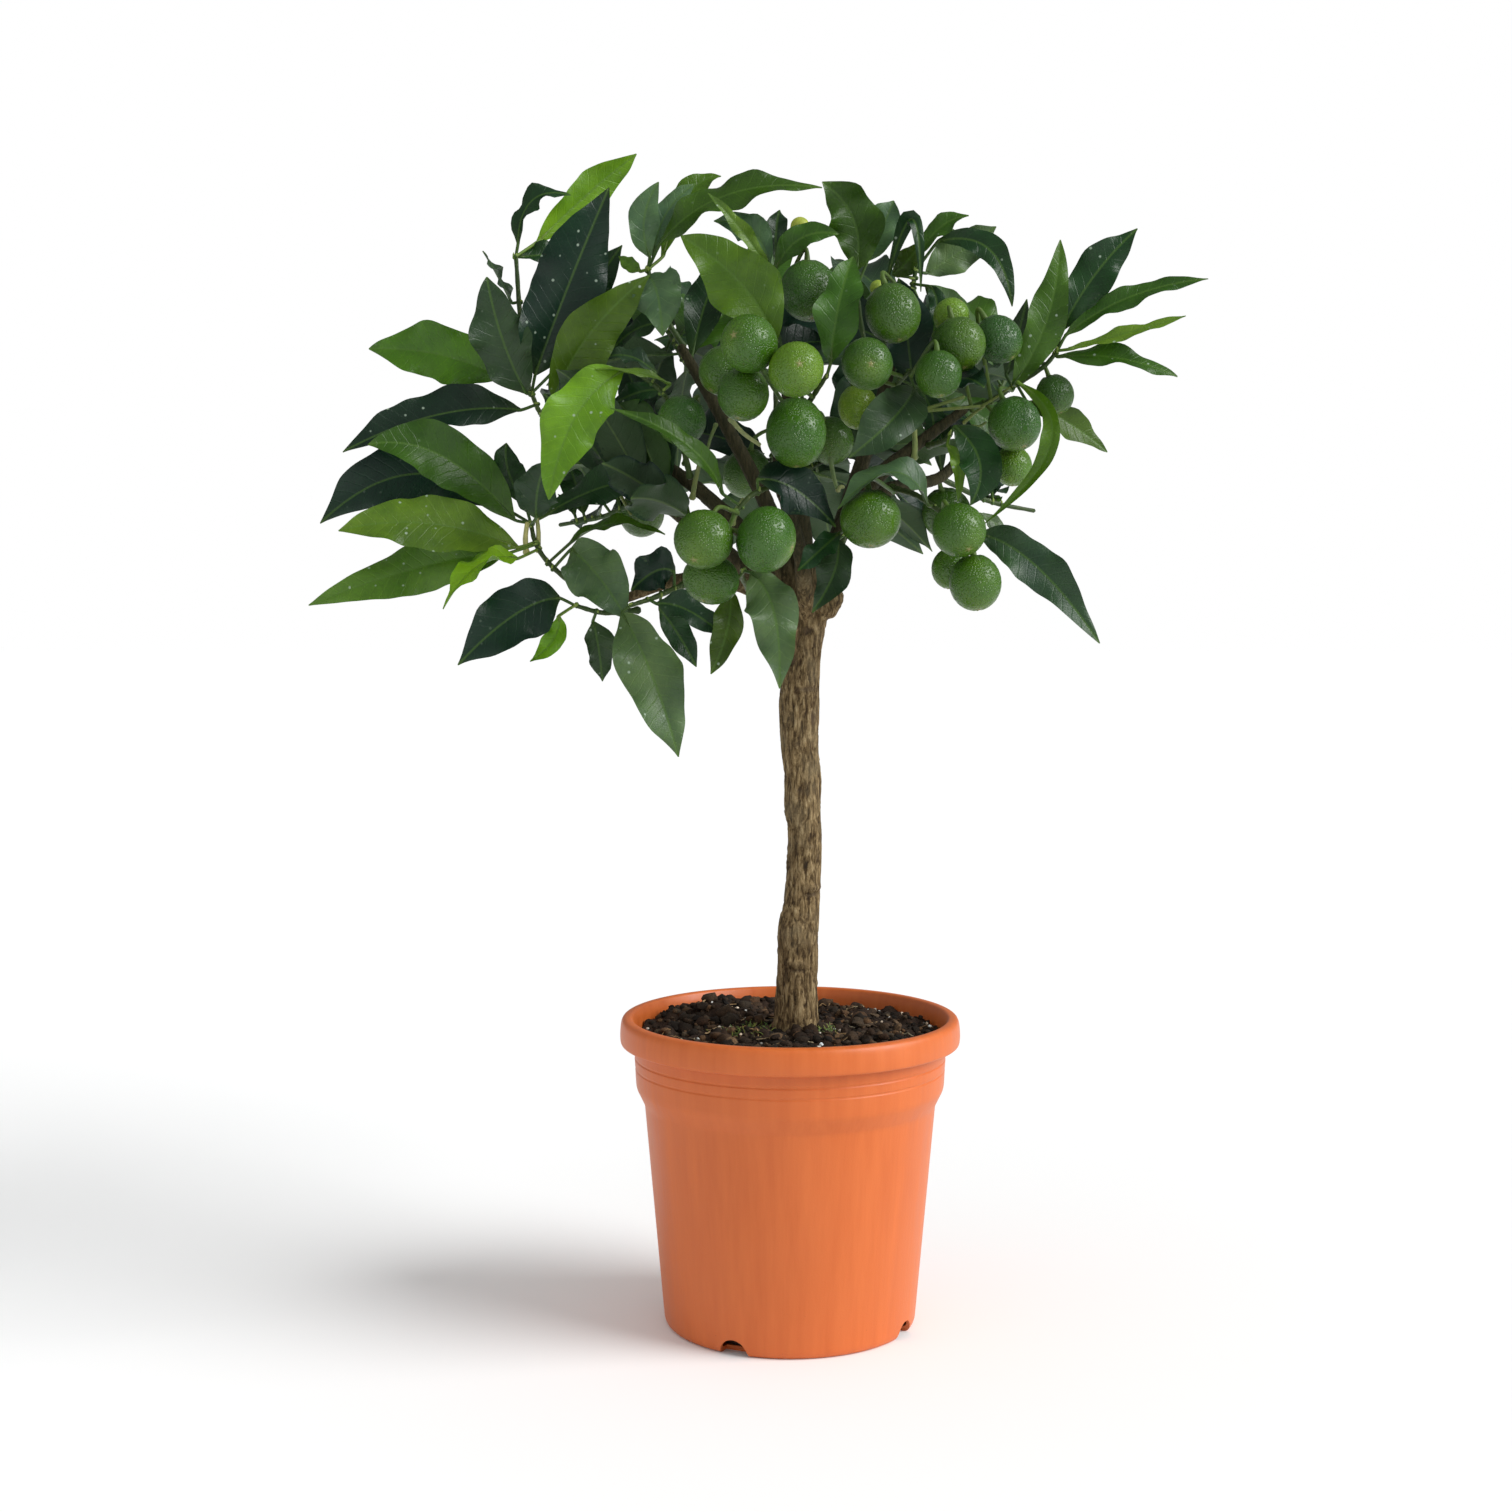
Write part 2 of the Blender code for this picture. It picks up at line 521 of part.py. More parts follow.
def settle_leaf(name, route, plan, thicket):
    """Grows a planned leaf, swinging its tip nearer or farther until it is clear of its neighbours."""
    base, middle, tip, width, turn, tone = plan
    facing = Vector((0, -1, 0))
    for size in (1.0, 0.9, 0.8, 0.7, 0.6):
        for lean in (0, 25, -25):
            for base_shift in (0, 8, -8, 16, -16):
                for shift in either_way(7, 9):
                    start = placed((base[0], base[1] + base_shift, base[2]))
                    mid = placed((middle[0], middle[1] + 0.45 * shift + base_shift, middle[2]))
                    end = placed((tip[0], tip[1] + shift + base_shift, tip[2]))
                    root = nearest_on(route, start)[0]
                    root -= (start - root).normalized() * ROOT_DEPTH
                    leaf = Leaf(root, start, start + (mid - start) * size, start + (end - start) * size,
                                width * size * MM, math.radians(turn + lean), tone, facing)
                    if try_leaf(name, leaf, thicket):
                        return leaf
    raise RuntimeError(f"a {tone} leaf of {name} at {base} finds no room")


def try_leaf(name, leaf, thicket, apart=False):
    """Adds the leaf if it is clear of everything."""
    if not thicket.is_clear(name, leaf.shape(extra=CLEARANCE), leaf.shape(first=0.3), apart):
        return False
    thicket.add(name, leaf.shape(), leaf.shape(first=0.3))
    return True


def within_crown(leaf):
    """Whether a fill leaf stays behind the crown's middle when seen from the front."""
    for t in (0.5, 1.0):
        spot = seen(leaf.at(t)[0])
        across = (spot.x - CORE_CENTRE[0]) / CORE_RADII[0]
        up = (spot.z - CORE_CENTRE[1]) / CORE_RADII[1]
        if across ** 2 + up ** 2 > 1:
            return False
    return True


def fill_twig(name, plan, thicket):
    """Grows the twig of a fill spray, bending up a little towards its end."""
    start, heading, climb, length, _ = plan
    heading, climb, length = math.radians(heading), math.radians(climb), length * MM
    flat = Vector((math.cos(heading), math.sin(heading), 0))
    ahead = math.cos(climb) * flat + Vector((0, 0, math.sin(climb)))
    first = placed(start)
    last = first + ahead * length + Vector((0, 0, 0.1 * length))
    route = smooth_route([first, first + ahead * length / 2, last], 3)
    found = rooted(name, route, TWIG_RADIUS, TWIG_RADIUS * 0.7, thicket)
    if not found:
        raise RuntimeError(f"the twig of {name} is never clear of its neighbours")
    thicket.add(name, tube_shape(*found))
    return found


def share_along(route, share):
    """The place at a share of the route, which lies on one of its straight pieces."""
    reach = share * (len(route) - 1)
    index = min(int(reach), len(route) - 2)
    return route[index].lerp(route[index + 1], reach - index)


def fill_leaf(name, route, share, index, dice, thicket):
    """Grows one leaf of a fill spray, a turn round the twig from the one before, wherever there is room."""
    place = share_along(route, share)
    ahead = (route[-1] - route[0]).normalized()
    side = ahead.cross(Vector((0, 0, 1))).normalized()
    over = side.cross(ahead)
    for attempt in range(FILL_TRIES):
        tried = attempt / FILL_TRIES
        around = TURN_BETWEEN_LEAVES * index + dice.uniform(-0.5, 0.5) * (1 + 7 * tried)
        spread = math.radians(dice.uniform(*(END_SPREAD if share == 1 else SIDE_SPREAD)))
        out = math.cos(around) * side + math.sin(around) * over
        way = math.cos(spread) * ahead + math.sin(spread) * out
        length = dice.uniform(*FILL_LENGTHS) * (1 - tried * FILL_SHRINK)
        base = place + way * FILL_PETIOLE
        droop = Vector((0, 0, -dice.uniform(*DROOP) * length))
        facing = Vector((dice.uniform(-0.5, 0.5), dice.choice((-0.8, 0.8)), 0.6)).normalized()
        leaf = Leaf(place - way * ROOT_DEPTH, base, base + way * length * 0.52, base + way * length + droop,
                    length * LENGTH_TO_WIDTH, dice.uniform(-0.5, 0.5), dice.choice(FILL_TONES), facing)
        across = leaf.at(0)[1]
        steady = across.dot(leaf.at(0.8)[1]) > STRAIGHTNESS and abs(across.dot(way)) < MOST_SKEW
        if steady and within_crown(leaf) and try_leaf(name, leaf, thicket, apart=True):
            return leaf
    return None


def grow_crown():
    """Settles the whole crown in one fixed order: wood, twigs, fruit, the planned leaves, then the fill."""
    thicket = Thicket()
    dice = random.Random(9)
    wood = grow_wood(thicket)
    twigs = {name: grow_twig(name, places, thicket) for name, (places, _) in SPRAYS.items()}
    twigs |= {name: fill_twig(name, plan, thicket) for name, plan in FILL_SPRAYS.items()}
    kumquats = {}
    for number, plan in enumerate(KUMQUATS, 1):
        name = f"kumquat_{number:02d}"
        kumquats[name] = grow_kumquat(name, plan, thicket)
    leaves = {name: [] for name in twigs}
    for name, (_, plans) in SPRAYS.items():
        for plan in plans:
            leaves[name].append(settle_leaf(name, twigs[name][0], plan, thicket))
    for name, plan in FILL_SPRAYS.items():
        count = plan[4]
        for index in range(count):
            share = FIRST_LEAF_SHARE + (1 - FIRST_LEAF_SHARE) * index / (count - 1)
            leaf = fill_leaf(name, twigs[name][0], share, index, dice, thicket)
            if leaf:
                leaves[name].append(leaf)
    return wood, twigs, kumquats, leaves


def material(name, colour, roughness):
    finish = bpy.data.materials.new(name)
    finish.use_nodes = True
    shader = finish.node_tree.nodes["Principled BSDF"]
    shader.inputs["Base Color"].default_value = (*colour, 1)
    shader.inputs["Roughness"].default_value = roughness
    shader.inputs["Metallic"].default_value = 0
    finish.diffuse_color = (*colour, 1)
    return finish


def add_object(name, mesh, collection, finish=None):
    thing = bpy.data.objects.new(name, mesh)
    collection.objects.link(thing)
    if finish:
        mesh.materials.clear()
        mesh.materials.append(finish)
        mesh.shade_smooth()
        mesh.set_sharp_from_angle(angle=math.radians(40))
    return thing


def add_helper(name, mesh, collection):
    """A shape that only joins or cuts another."""
    helper = add_object(name, mesh, collection)
    helper.hide_render = True
    helper.display_type = "WIRE"
    return helper


def add_boolean(thing, operation, other):
    boolean = thing.modifiers.new(operation.title(), "BOOLEAN")
    boolean.operation = operation
    boolean.solver = "EXACT"
    if isinstance(other, bpy.types.Collection):
        boolean.operand_type = "COLLECTION"
        boolean.collection = other
    else:
        boolean.object = other


def turned(name, profile, sides, collection):
    """A profile in the XZ plane, from the outer top round to the axis and back, turned about Z."""
    mesh = bpy.data.meshes.new(name)
    edges = [(index, index + 1) for index in range(len(profile) - 1)]
    mesh.from_pydata([(radius, 0, height) for radius, height in profile], edges, [])
    thing = add_object(name, mesh, collection)
    screw = thing.modifiers.new("Turn", "SCREW")
    screw.axis = "Z"
    screw.angle = math.tau
    screw.steps = screw.render_steps = sides
    screw.use_merge_vertices = True
    screw.merge_threshold = 0.00001
    screw.use_smooth_shade = True
    return thing


def wire(name, route, radii, resolution):
    """The mesh of a round wire along a route, with filled caps."""
    curve = bpy.data.curves.new(name, "CURVE")
    curve.dimensions = "3D"
    curve.bevel_depth = 1.0
    curve.bevel_resolution = resolution
    curve.use_fill_caps = True
    spline = curve.splines.new("POLY")
    spline.points.add(len(route) - 1)
    for point, place, radius in zip(spline.points, route, radii):
        point.co = (*place, 1)
        point.radius = radius
    guide = bpy.data.objects.new(name, curve)
    mesh = bpy.data.meshes.new_from_object(guide)
    weld(mesh)
    bpy.data.objects.remove(guide)
    bpy.data.curves.remove(curve)
    return mesh


def weld(mesh):
    work = bmesh.new()
    work.from_mesh(mesh)
    bmesh.ops.remove_doubles(work, verts=work.verts, dist=0.00001)
    bmesh.ops.recalc_face_normals(work, faces=work.faces)
    work.to_mesh(mesh)
    work.free()


def make_pot(collection, helpers):
    inner_rim = RIM_RADIUS - RIM_WIDTH
    inner_base = BASE_RADIUS - WALL
    profile = [
        (inner_rim + 0.0010, POT_HEIGHT), (RIM_RADIUS - 0.0022, POT_HEIGHT),
        (RIM_RADIUS - 0.0006, POT_HEIGHT - 0.0016), (RIM_RADIUS, POT_HEIGHT - 0.0060),
        (RIM_RADIUS - 0.0004, POT_HEIGHT - BAND_DEPTH + 0.0006),
        (RIM_RADIUS - 0.0012, POT_HEIGHT - BAND_DEPTH), (COLLAR_RADIUS, POT_HEIGHT - BAND_DEPTH),
        (COLLAR_RADIUS - COLLAR_TAPER, LEDGE_TOP), (BODY_RADIUS + 0.0004, LEDGE_BOTTOM + 0.0010),
        (BODY_RADIUS - 0.0002, LEDGE_BOTTOM - 0.0010),
        (BASE_RADIUS + 0.0002, 0.0030), (BASE_RADIUS - 0.0009, 0.0009), (BASE_RADIUS - 0.0030, 0),
        (0, 0), (0, FLOOR), (inner_base - 0.002, FLOOR), (inner_base, FLOOR + 0.002),
        (BODY_RADIUS - WALL, LEDGE_BOTTOM), (COLLAR_RADIUS - COLLAR_TAPER - WALL, LEDGE_TOP + 0.0005),
        (COLLAR_RADIUS - WALL, POT_HEIGHT - BAND_DEPTH), (inner_rim, POT_HEIGHT - 0.0014),
        (inner_rim + 0.0010, POT_HEIGHT),
    ]
    pot = turned("pot", profile, POT_SIDES, collection)
    pot.data.materials.append(material("terracotta_plastic", (0.70, 0.19, 0.06), 0.45))
    for number in range(NOTCHES):
        heading = NOTCH_HEADING + math.tau * number / NOTCHES
        cube = bmesh.new()
        size = (NOTCH_DEPTH, NOTCH_WIDTH, 2 * NOTCH_HEIGHT)
        bmesh.ops.create_cube(cube, size=1, matrix=Matrix.Diagonal((*size, 1)))
        for corner in cube.verts:
            if corner.co.z > 0:
                corner.co.y *= 0.8
        mesh = bpy.data.meshes.new(f"notch_{number + 1}")
        cube.to_mesh(mesh)
        cube.free()
        cutter = add_helper(f"notch_{number + 1}", mesh, helpers)
        reach = BASE_RADIUS - 0.002
        cutter.location = (reach * math.cos(heading), reach * math.sin(heading), 0)
        cutter.rotation_euler = (0, 0, heading)
        add_boolean(pot, "DIFFERENCE", cutter)
    return pot


def stump_hole(trunk):
    """The buried stretch of the trunk, a little wider and deeper."""
    buried = [(place, radius) for place, radius in zip(*trunk) if place.z < SOIL_TOP + 0.02]
    foot = buried[0][0] - Vector((0, 0, GAP))
    route = [foot, *(place for place, _ in buried)]
    return route, [radius + STUMP_ROOM for radius in (buried[0][1], *(radius for _, radius in buried))]


def make_soil(collection, helpers, stump):
    """The root ball, which follows the inside of the pot, with a blind hole that the stump stands in."""
    room = WALL + GAP
    profile = [
        (0, SOIL_TOP), (0.055, SOIL_TOP - 0.0005), (COLLAR_RADIUS - room - 0.0012, SOIL_EDGE_TOP - 0.002),
        (COLLAR_RADIUS - COLLAR_TAPER - room - 0.0002, LEDGE_TOP + 0.0005),
        (BODY_RADIUS - room - 0.0002, LEDGE_BOTTOM),
        (BASE_RADIUS - room - 0.0006, FLOOR + GAP + NOTCH_HEIGHT), (BASE_RADIUS - 0.0095, FLOOR + GAP),
        (0, FLOOR + GAP),
    ]
    soil = turned("soil", profile, SOIL_SIDES, collection)
    soil.data.materials.append(material("potting_soil", (0.030, 0.018, 0.012), 0.95))
    hollow = add_helper("stump_hole", wire("stump_hole", *stump, 3), helpers)
    add_boolean(soil, "DIFFERENCE", hollow)
    return soil


def make_tree(wood, collection, helpers):
    """The trunk with its branches and the buried stump, grown as one piece."""
    bark = material("bark", (0.21, 0.14, 0.08), 0.85)
    limbs = bpy.data.collections.new("limbs")
    helpers.children.link(limbs)
    for name, (route, radii) in wood.items():
        if name != "trunk":
            add_helper(name, wire(name, route, radii, 1), limbs)
    tree = add_object("tree_wood", wire("tree_wood", *wood["trunk"], 3), collection, bark)
    add_boolean(tree, "UNION", limbs)
    return tree


def make_kumquat(name, kumquat, collection, helpers, finish):
    centre, facing, width, length, stalk = kumquat
    body = bmesh.new()
    lying = facing.to_track_quat("Z", "Y").to_matrix().to_4x4()
    matrix = Matrix.Translation(centre) @ lying @ Matrix.Diagonal((width / 2, width / 2, length / 2, 1))
    bmesh.ops.create_icosphere(body, subdivisions=2, radius=1, matrix=matrix)
    mesh = bpy.data.meshes.new(name)
    body.to_mesh(mesh)
    body.free()
    fruit = add_object(name, mesh, collection, finish)
    stem = add_helper(f"{name}_stalk", wire(f"{name}_stalk", *stalk, 0), helpers)
    add_boolean(fruit, "UNION", stem)
    return fruit


def make_spray(name, twig, leaves, collection, helpers):
    """A twig with its leaves, as one grown piece."""
    tones = [TONES[leaf.tone] for leaf in leaves]
    colour = [sum(tone[channel] for tone in tones) / len(tones) for channel in range(3)]
    finish = material(f"leaf_{name}", colour, 0.4)
    spray = add_object(f"spray_{name}", wire(name, *twig, 1), collection, finish)
    blades = bpy.data.collections.new(f"{name}_leaves")
    helpers.children.link(blades)
    for number, leaf in enumerate(leaves, 1):
        mesh = bpy.data.meshes.new(f"{name}_leaf_{number}")
        corners, faces = leaf.shape()
        mesh.from_pydata(corners, [], faces)
        weld(mesh)
        add_helper(f"{name}_leaf_{number}", mesh, blades)
    add_boolean(spray, "UNION", blades)
    return spray


def main():
    for thing in list(bpy.data.objects):
        bpy.data.objects.remove(thing)
    scene = bpy.context.scene.collection
    parts = bpy.data.collections.new("Potted kumquat tree")
    helpers = bpy.data.collections.new("Cutters and joined shapes")
    scene.children.link(parts)
    scene.children.link(helpers)
    wood, twigs, kumquats, leaves = grow_crown()
    make_pot(parts, helpers)
    make_soil(parts, helpers, stump_hole(wood["trunk"]))
    make_tree(wood, parts, helpers)
    skin = material("kumquat_skin", (0.10, 0.26, 0.02), 0.35)
    for name, kumquat in kumquats.items():
        make_kumquat(name, kumquat, parts, helpers, skin)
    for name, twig in twigs.items():
        make_spray(name, twig, leaves[name], parts, helpers)


main()
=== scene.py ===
"""The finished look of the potted kumquat tree: leaves, fruit, bark, soil and pot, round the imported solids.

Lengths are in metres, except in the crown's plan, whose places are in millimetres. The plan and the way it
grows are the construction's own, so that each leaf and fruit lies where its solid does.
"""

import math
import random

import bmesh
import bpy
import numpy as np
from mathutils import Matrix, Vector, kdtree, noise
from mathutils.bvhtree import BVHTree


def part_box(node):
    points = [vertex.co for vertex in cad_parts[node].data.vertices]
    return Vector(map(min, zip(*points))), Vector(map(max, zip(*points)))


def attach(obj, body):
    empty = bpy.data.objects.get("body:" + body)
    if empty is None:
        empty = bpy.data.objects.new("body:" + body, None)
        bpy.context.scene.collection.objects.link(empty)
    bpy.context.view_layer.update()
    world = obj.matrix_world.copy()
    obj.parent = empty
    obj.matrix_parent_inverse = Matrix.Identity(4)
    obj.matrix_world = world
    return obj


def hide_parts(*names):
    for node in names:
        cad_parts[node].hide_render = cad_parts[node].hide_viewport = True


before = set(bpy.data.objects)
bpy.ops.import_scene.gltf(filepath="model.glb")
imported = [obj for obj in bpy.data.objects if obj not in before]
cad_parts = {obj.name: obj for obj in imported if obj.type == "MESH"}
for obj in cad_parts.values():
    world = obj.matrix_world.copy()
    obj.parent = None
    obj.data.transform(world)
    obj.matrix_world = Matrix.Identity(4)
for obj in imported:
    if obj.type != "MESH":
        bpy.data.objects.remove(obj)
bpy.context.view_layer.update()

MM = 0.001
GAP = 0.0003

# The camera stands level with the crown and looks a little down
EYE = Vector((-0.019, -1.234, 0.4105))
CAMERA_PITCH = math.radians(4.26)
CAMERA_LENS = 53.1
SENSOR_WIDTH = 36

# Foliage
PETIOLE_RADIUS = 0.0008
ROOT_DEPTH = 0.0007
ROOT_TRIES = 90
LEAF_THICKNESS = 0.0010
LEAF_FOLD = math.radians(9)
TWIG_RADIUS = 0.0017
STALK_RADIUS = 0.0011
CLEARANCE = 0.0012

# Fill leaves: their tones, their lengths, how many places are tried and how much smaller the last tries are
FILL_TONES = ("dark", "deep", "deep", "mid", "dull")
FILL_LENGTHS = (0.080, 0.112)
FILL_TRIES = 260
FILL_SHRINK = 0.6
FILL_PETIOLE = 0.008
LENGTH_TO_WIDTH = 0.37

# Fill leaves: how far they spread from the twig in degrees, at its end and along it, how far they droop for
# their length, how straight and square they lie, the turn from one to the next, and where along the twig
# they begin
END_SPREAD = (15, 40)
SIDE_SPREAD = (40, 75)
DROOP = (0.05, 0.60)
STRAIGHTNESS = 0.9
MOST_SKEW = 0.2
TURN_BETWEEN_LEAVES = 2.4
FIRST_LEAF_SHARE = 0.35

# Where the fill leaves may show from the front: centre and radii, across and up
CORE_CENTRE = (-0.004, 0.503)
CORE_RADII = (0.134, 0.094)

# The finished blade: how finely it is modelled, its thickness, its midrib, the teeth of its margin, and the
# tip, which narrows by one of three shares
BLADE_STEP = 0.0022
BLADE_LANE = 0.0038
BLADE_THICKNESS = 0.00042
MIDRIB_WIDTH = 0.0007
MIDRIB_DEPTH = 0.0009
MARGIN_TOOTH = 0.0065
TIP_START = 0.82
TIP_TAPERS = (0.0, 0.15, 0.35)

# How many leaves carry dried drops, how strongly the others do, and the colour of a blade's base and tip
SPOTTED_SHARE = 0.45
FEW_SPOTS = 0.15
WORN_TONE = (0.090, 0.150, 0.015)

# Peel: the pits' spacing noise, width and depth
PIT_JITTER = 0.022
PIT_WIDTH = 0.033
PIT_DEPTH = 0.00038

# Wood: the size of the skin's grid, and the knob at the end of the right stub
WOOD_GRAIN = 0.0009
KNOB_PLACES = ((0.019, -0.004, 0.400), (0.0245, -0.006, 0.4075))
KNOB_RADII = (0.0072, 0.0058)
NO_TONE = (0, 0, 0, 0)

# Pot, its outer sizes from its solid, and the rest from the construction
POT_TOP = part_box("pot")[1]
RIM_RADIUS = round(POT_TOP.x, 4)
POT_HEIGHT = round(POT_TOP.z, 4)
RIM_WIDTH = 0.0075
BASE_RADIUS = 0.0705
WALL = 0.0018
FLOOR = 0.0025
BAND_DEPTH = 0.0148
COLLAR_RADIUS = 0.0873
COLLAR_TAPER = 0.0013
LEDGE_TOP = 0.134
LEDGE_BOTTOM = 0.125
BODY_RADIUS = 0.0815
POT_SIDES = 192
NOTCHES = 4
NOTCH_HEADING = math.radians(-116.5)
NOTCH_INSET = 0.002
NOTCH_SHAPE = (0.0088, 0.0084, 0.014)

# The two lines round the collar: the radius and height where each begins, how deep it is, and its rounding
COLLAR_LINES = ((0.08695, 0.1517, 0.00040), (0.08660, 0.1457, 0.00035))
LINE_EASE = 0.0003

# Soil: its level and radius, its fineness, and the radius and height of its body inside the pot
SOIL_LEVEL = 0.1632
SOIL_RADIUS = 0.0849
SOIL_RINGS = 64
SOIL_SIDES = 200
WALL_GAP = 0.0004
SOIL_BODY = (
    (COLLAR_RADIUS - COLLAR_TAPER - WALL - WALL_GAP, LEDGE_TOP + 0.0005),
    (BODY_RADIUS - WALL - WALL_GAP, LEDGE_BOTTOM), (0.0682, 0.0120), (0.0610, FLOOR + WALL_GAP),
)

# Stage: the floor, the suns (strength, angle across and the side they shine from), and the white room's
# light on the plant, in its reflections and behind it
FLOOR_REACH = 14
LIGHTS = (("key", 3.1, 40, (0.80, -0.27, 0.54)), ("fill", 0.25, 90, (-0.5, -0.9, 0.3)))
ROOM_LIGHT = 0.54
ROOM_MIRRORED = 0.26
ROOM_SEEN = 1.0

# Wood: radius at the start, radius at the end, and the places it grows through
BRANCHES = {
    "trunk": (0.0124, 0.0095, [(3, 0, 104), (3, 0, 150), (4, 0, 180), (4.5, 0, 222), (7, 0, 248),
                               (8, 0, 277), (7, 0, 304), (5, 0, 330), (5, 0, 351), (7, 0, 372),
                               (10, 0, 390), (11, 0, 396)]),
    "left_low": (0.0062, 0.0026, [(8, 0, 388), (-22, -6, 412), (-60, -8, 416), (-93, -4, 405)]),
    "left_mid": (0.0058, 0.0026, [(8, 0, 396), (-24, 4, 440), (-62, 10, 474), (-98, 12, 491)]),
    "up_left": (0.0056, 0.0026, [(10, 0, 396), (-12, 4, 455), (-38, 4, 505), (-60, 0, 543)]),
    "up_mid": (0.0054, 0.0026, [(11, 0, 398), (6, -12, 452), (0, -22, 500), (-4, -28, 536)]),
    "up_right": (0.0058, 0.0026, [(12, 0, 396), (30, 6, 452), (48, 10, 508), (60, 10, 554)]),
    "right": (0.0060, 0.0026, [(12, 0, 392), (23, -4, 432), (44, -10, 468), (68, -12, 489), (95, -8, 509)]),
    "right_stub": (0.0060, 0.0050, [(12, 0, 392), (24, -6, 408)]),
    "back": (0.0056, 0.0026, [(10, 0, 394), (2, 38, 440), (-6, 76, 478), (-8, 104, 502)]),
    "back_left": (0.0056, 0.0026, [(8, 0, 390), (-34, 44, 430), (-74, 78, 462), (-92, 96, 484)]),
    "back_right": (0.0056, 0.0026, [(12, 0, 392), (24, 18, 436), (50, 48, 464), (82, 72, 472),
                                    (98, 88, 492)]),
    "front": (0.0050, 0.0024, [(10, 0, 390), (4, -34, 438), (-8, -52, 470)]),
}

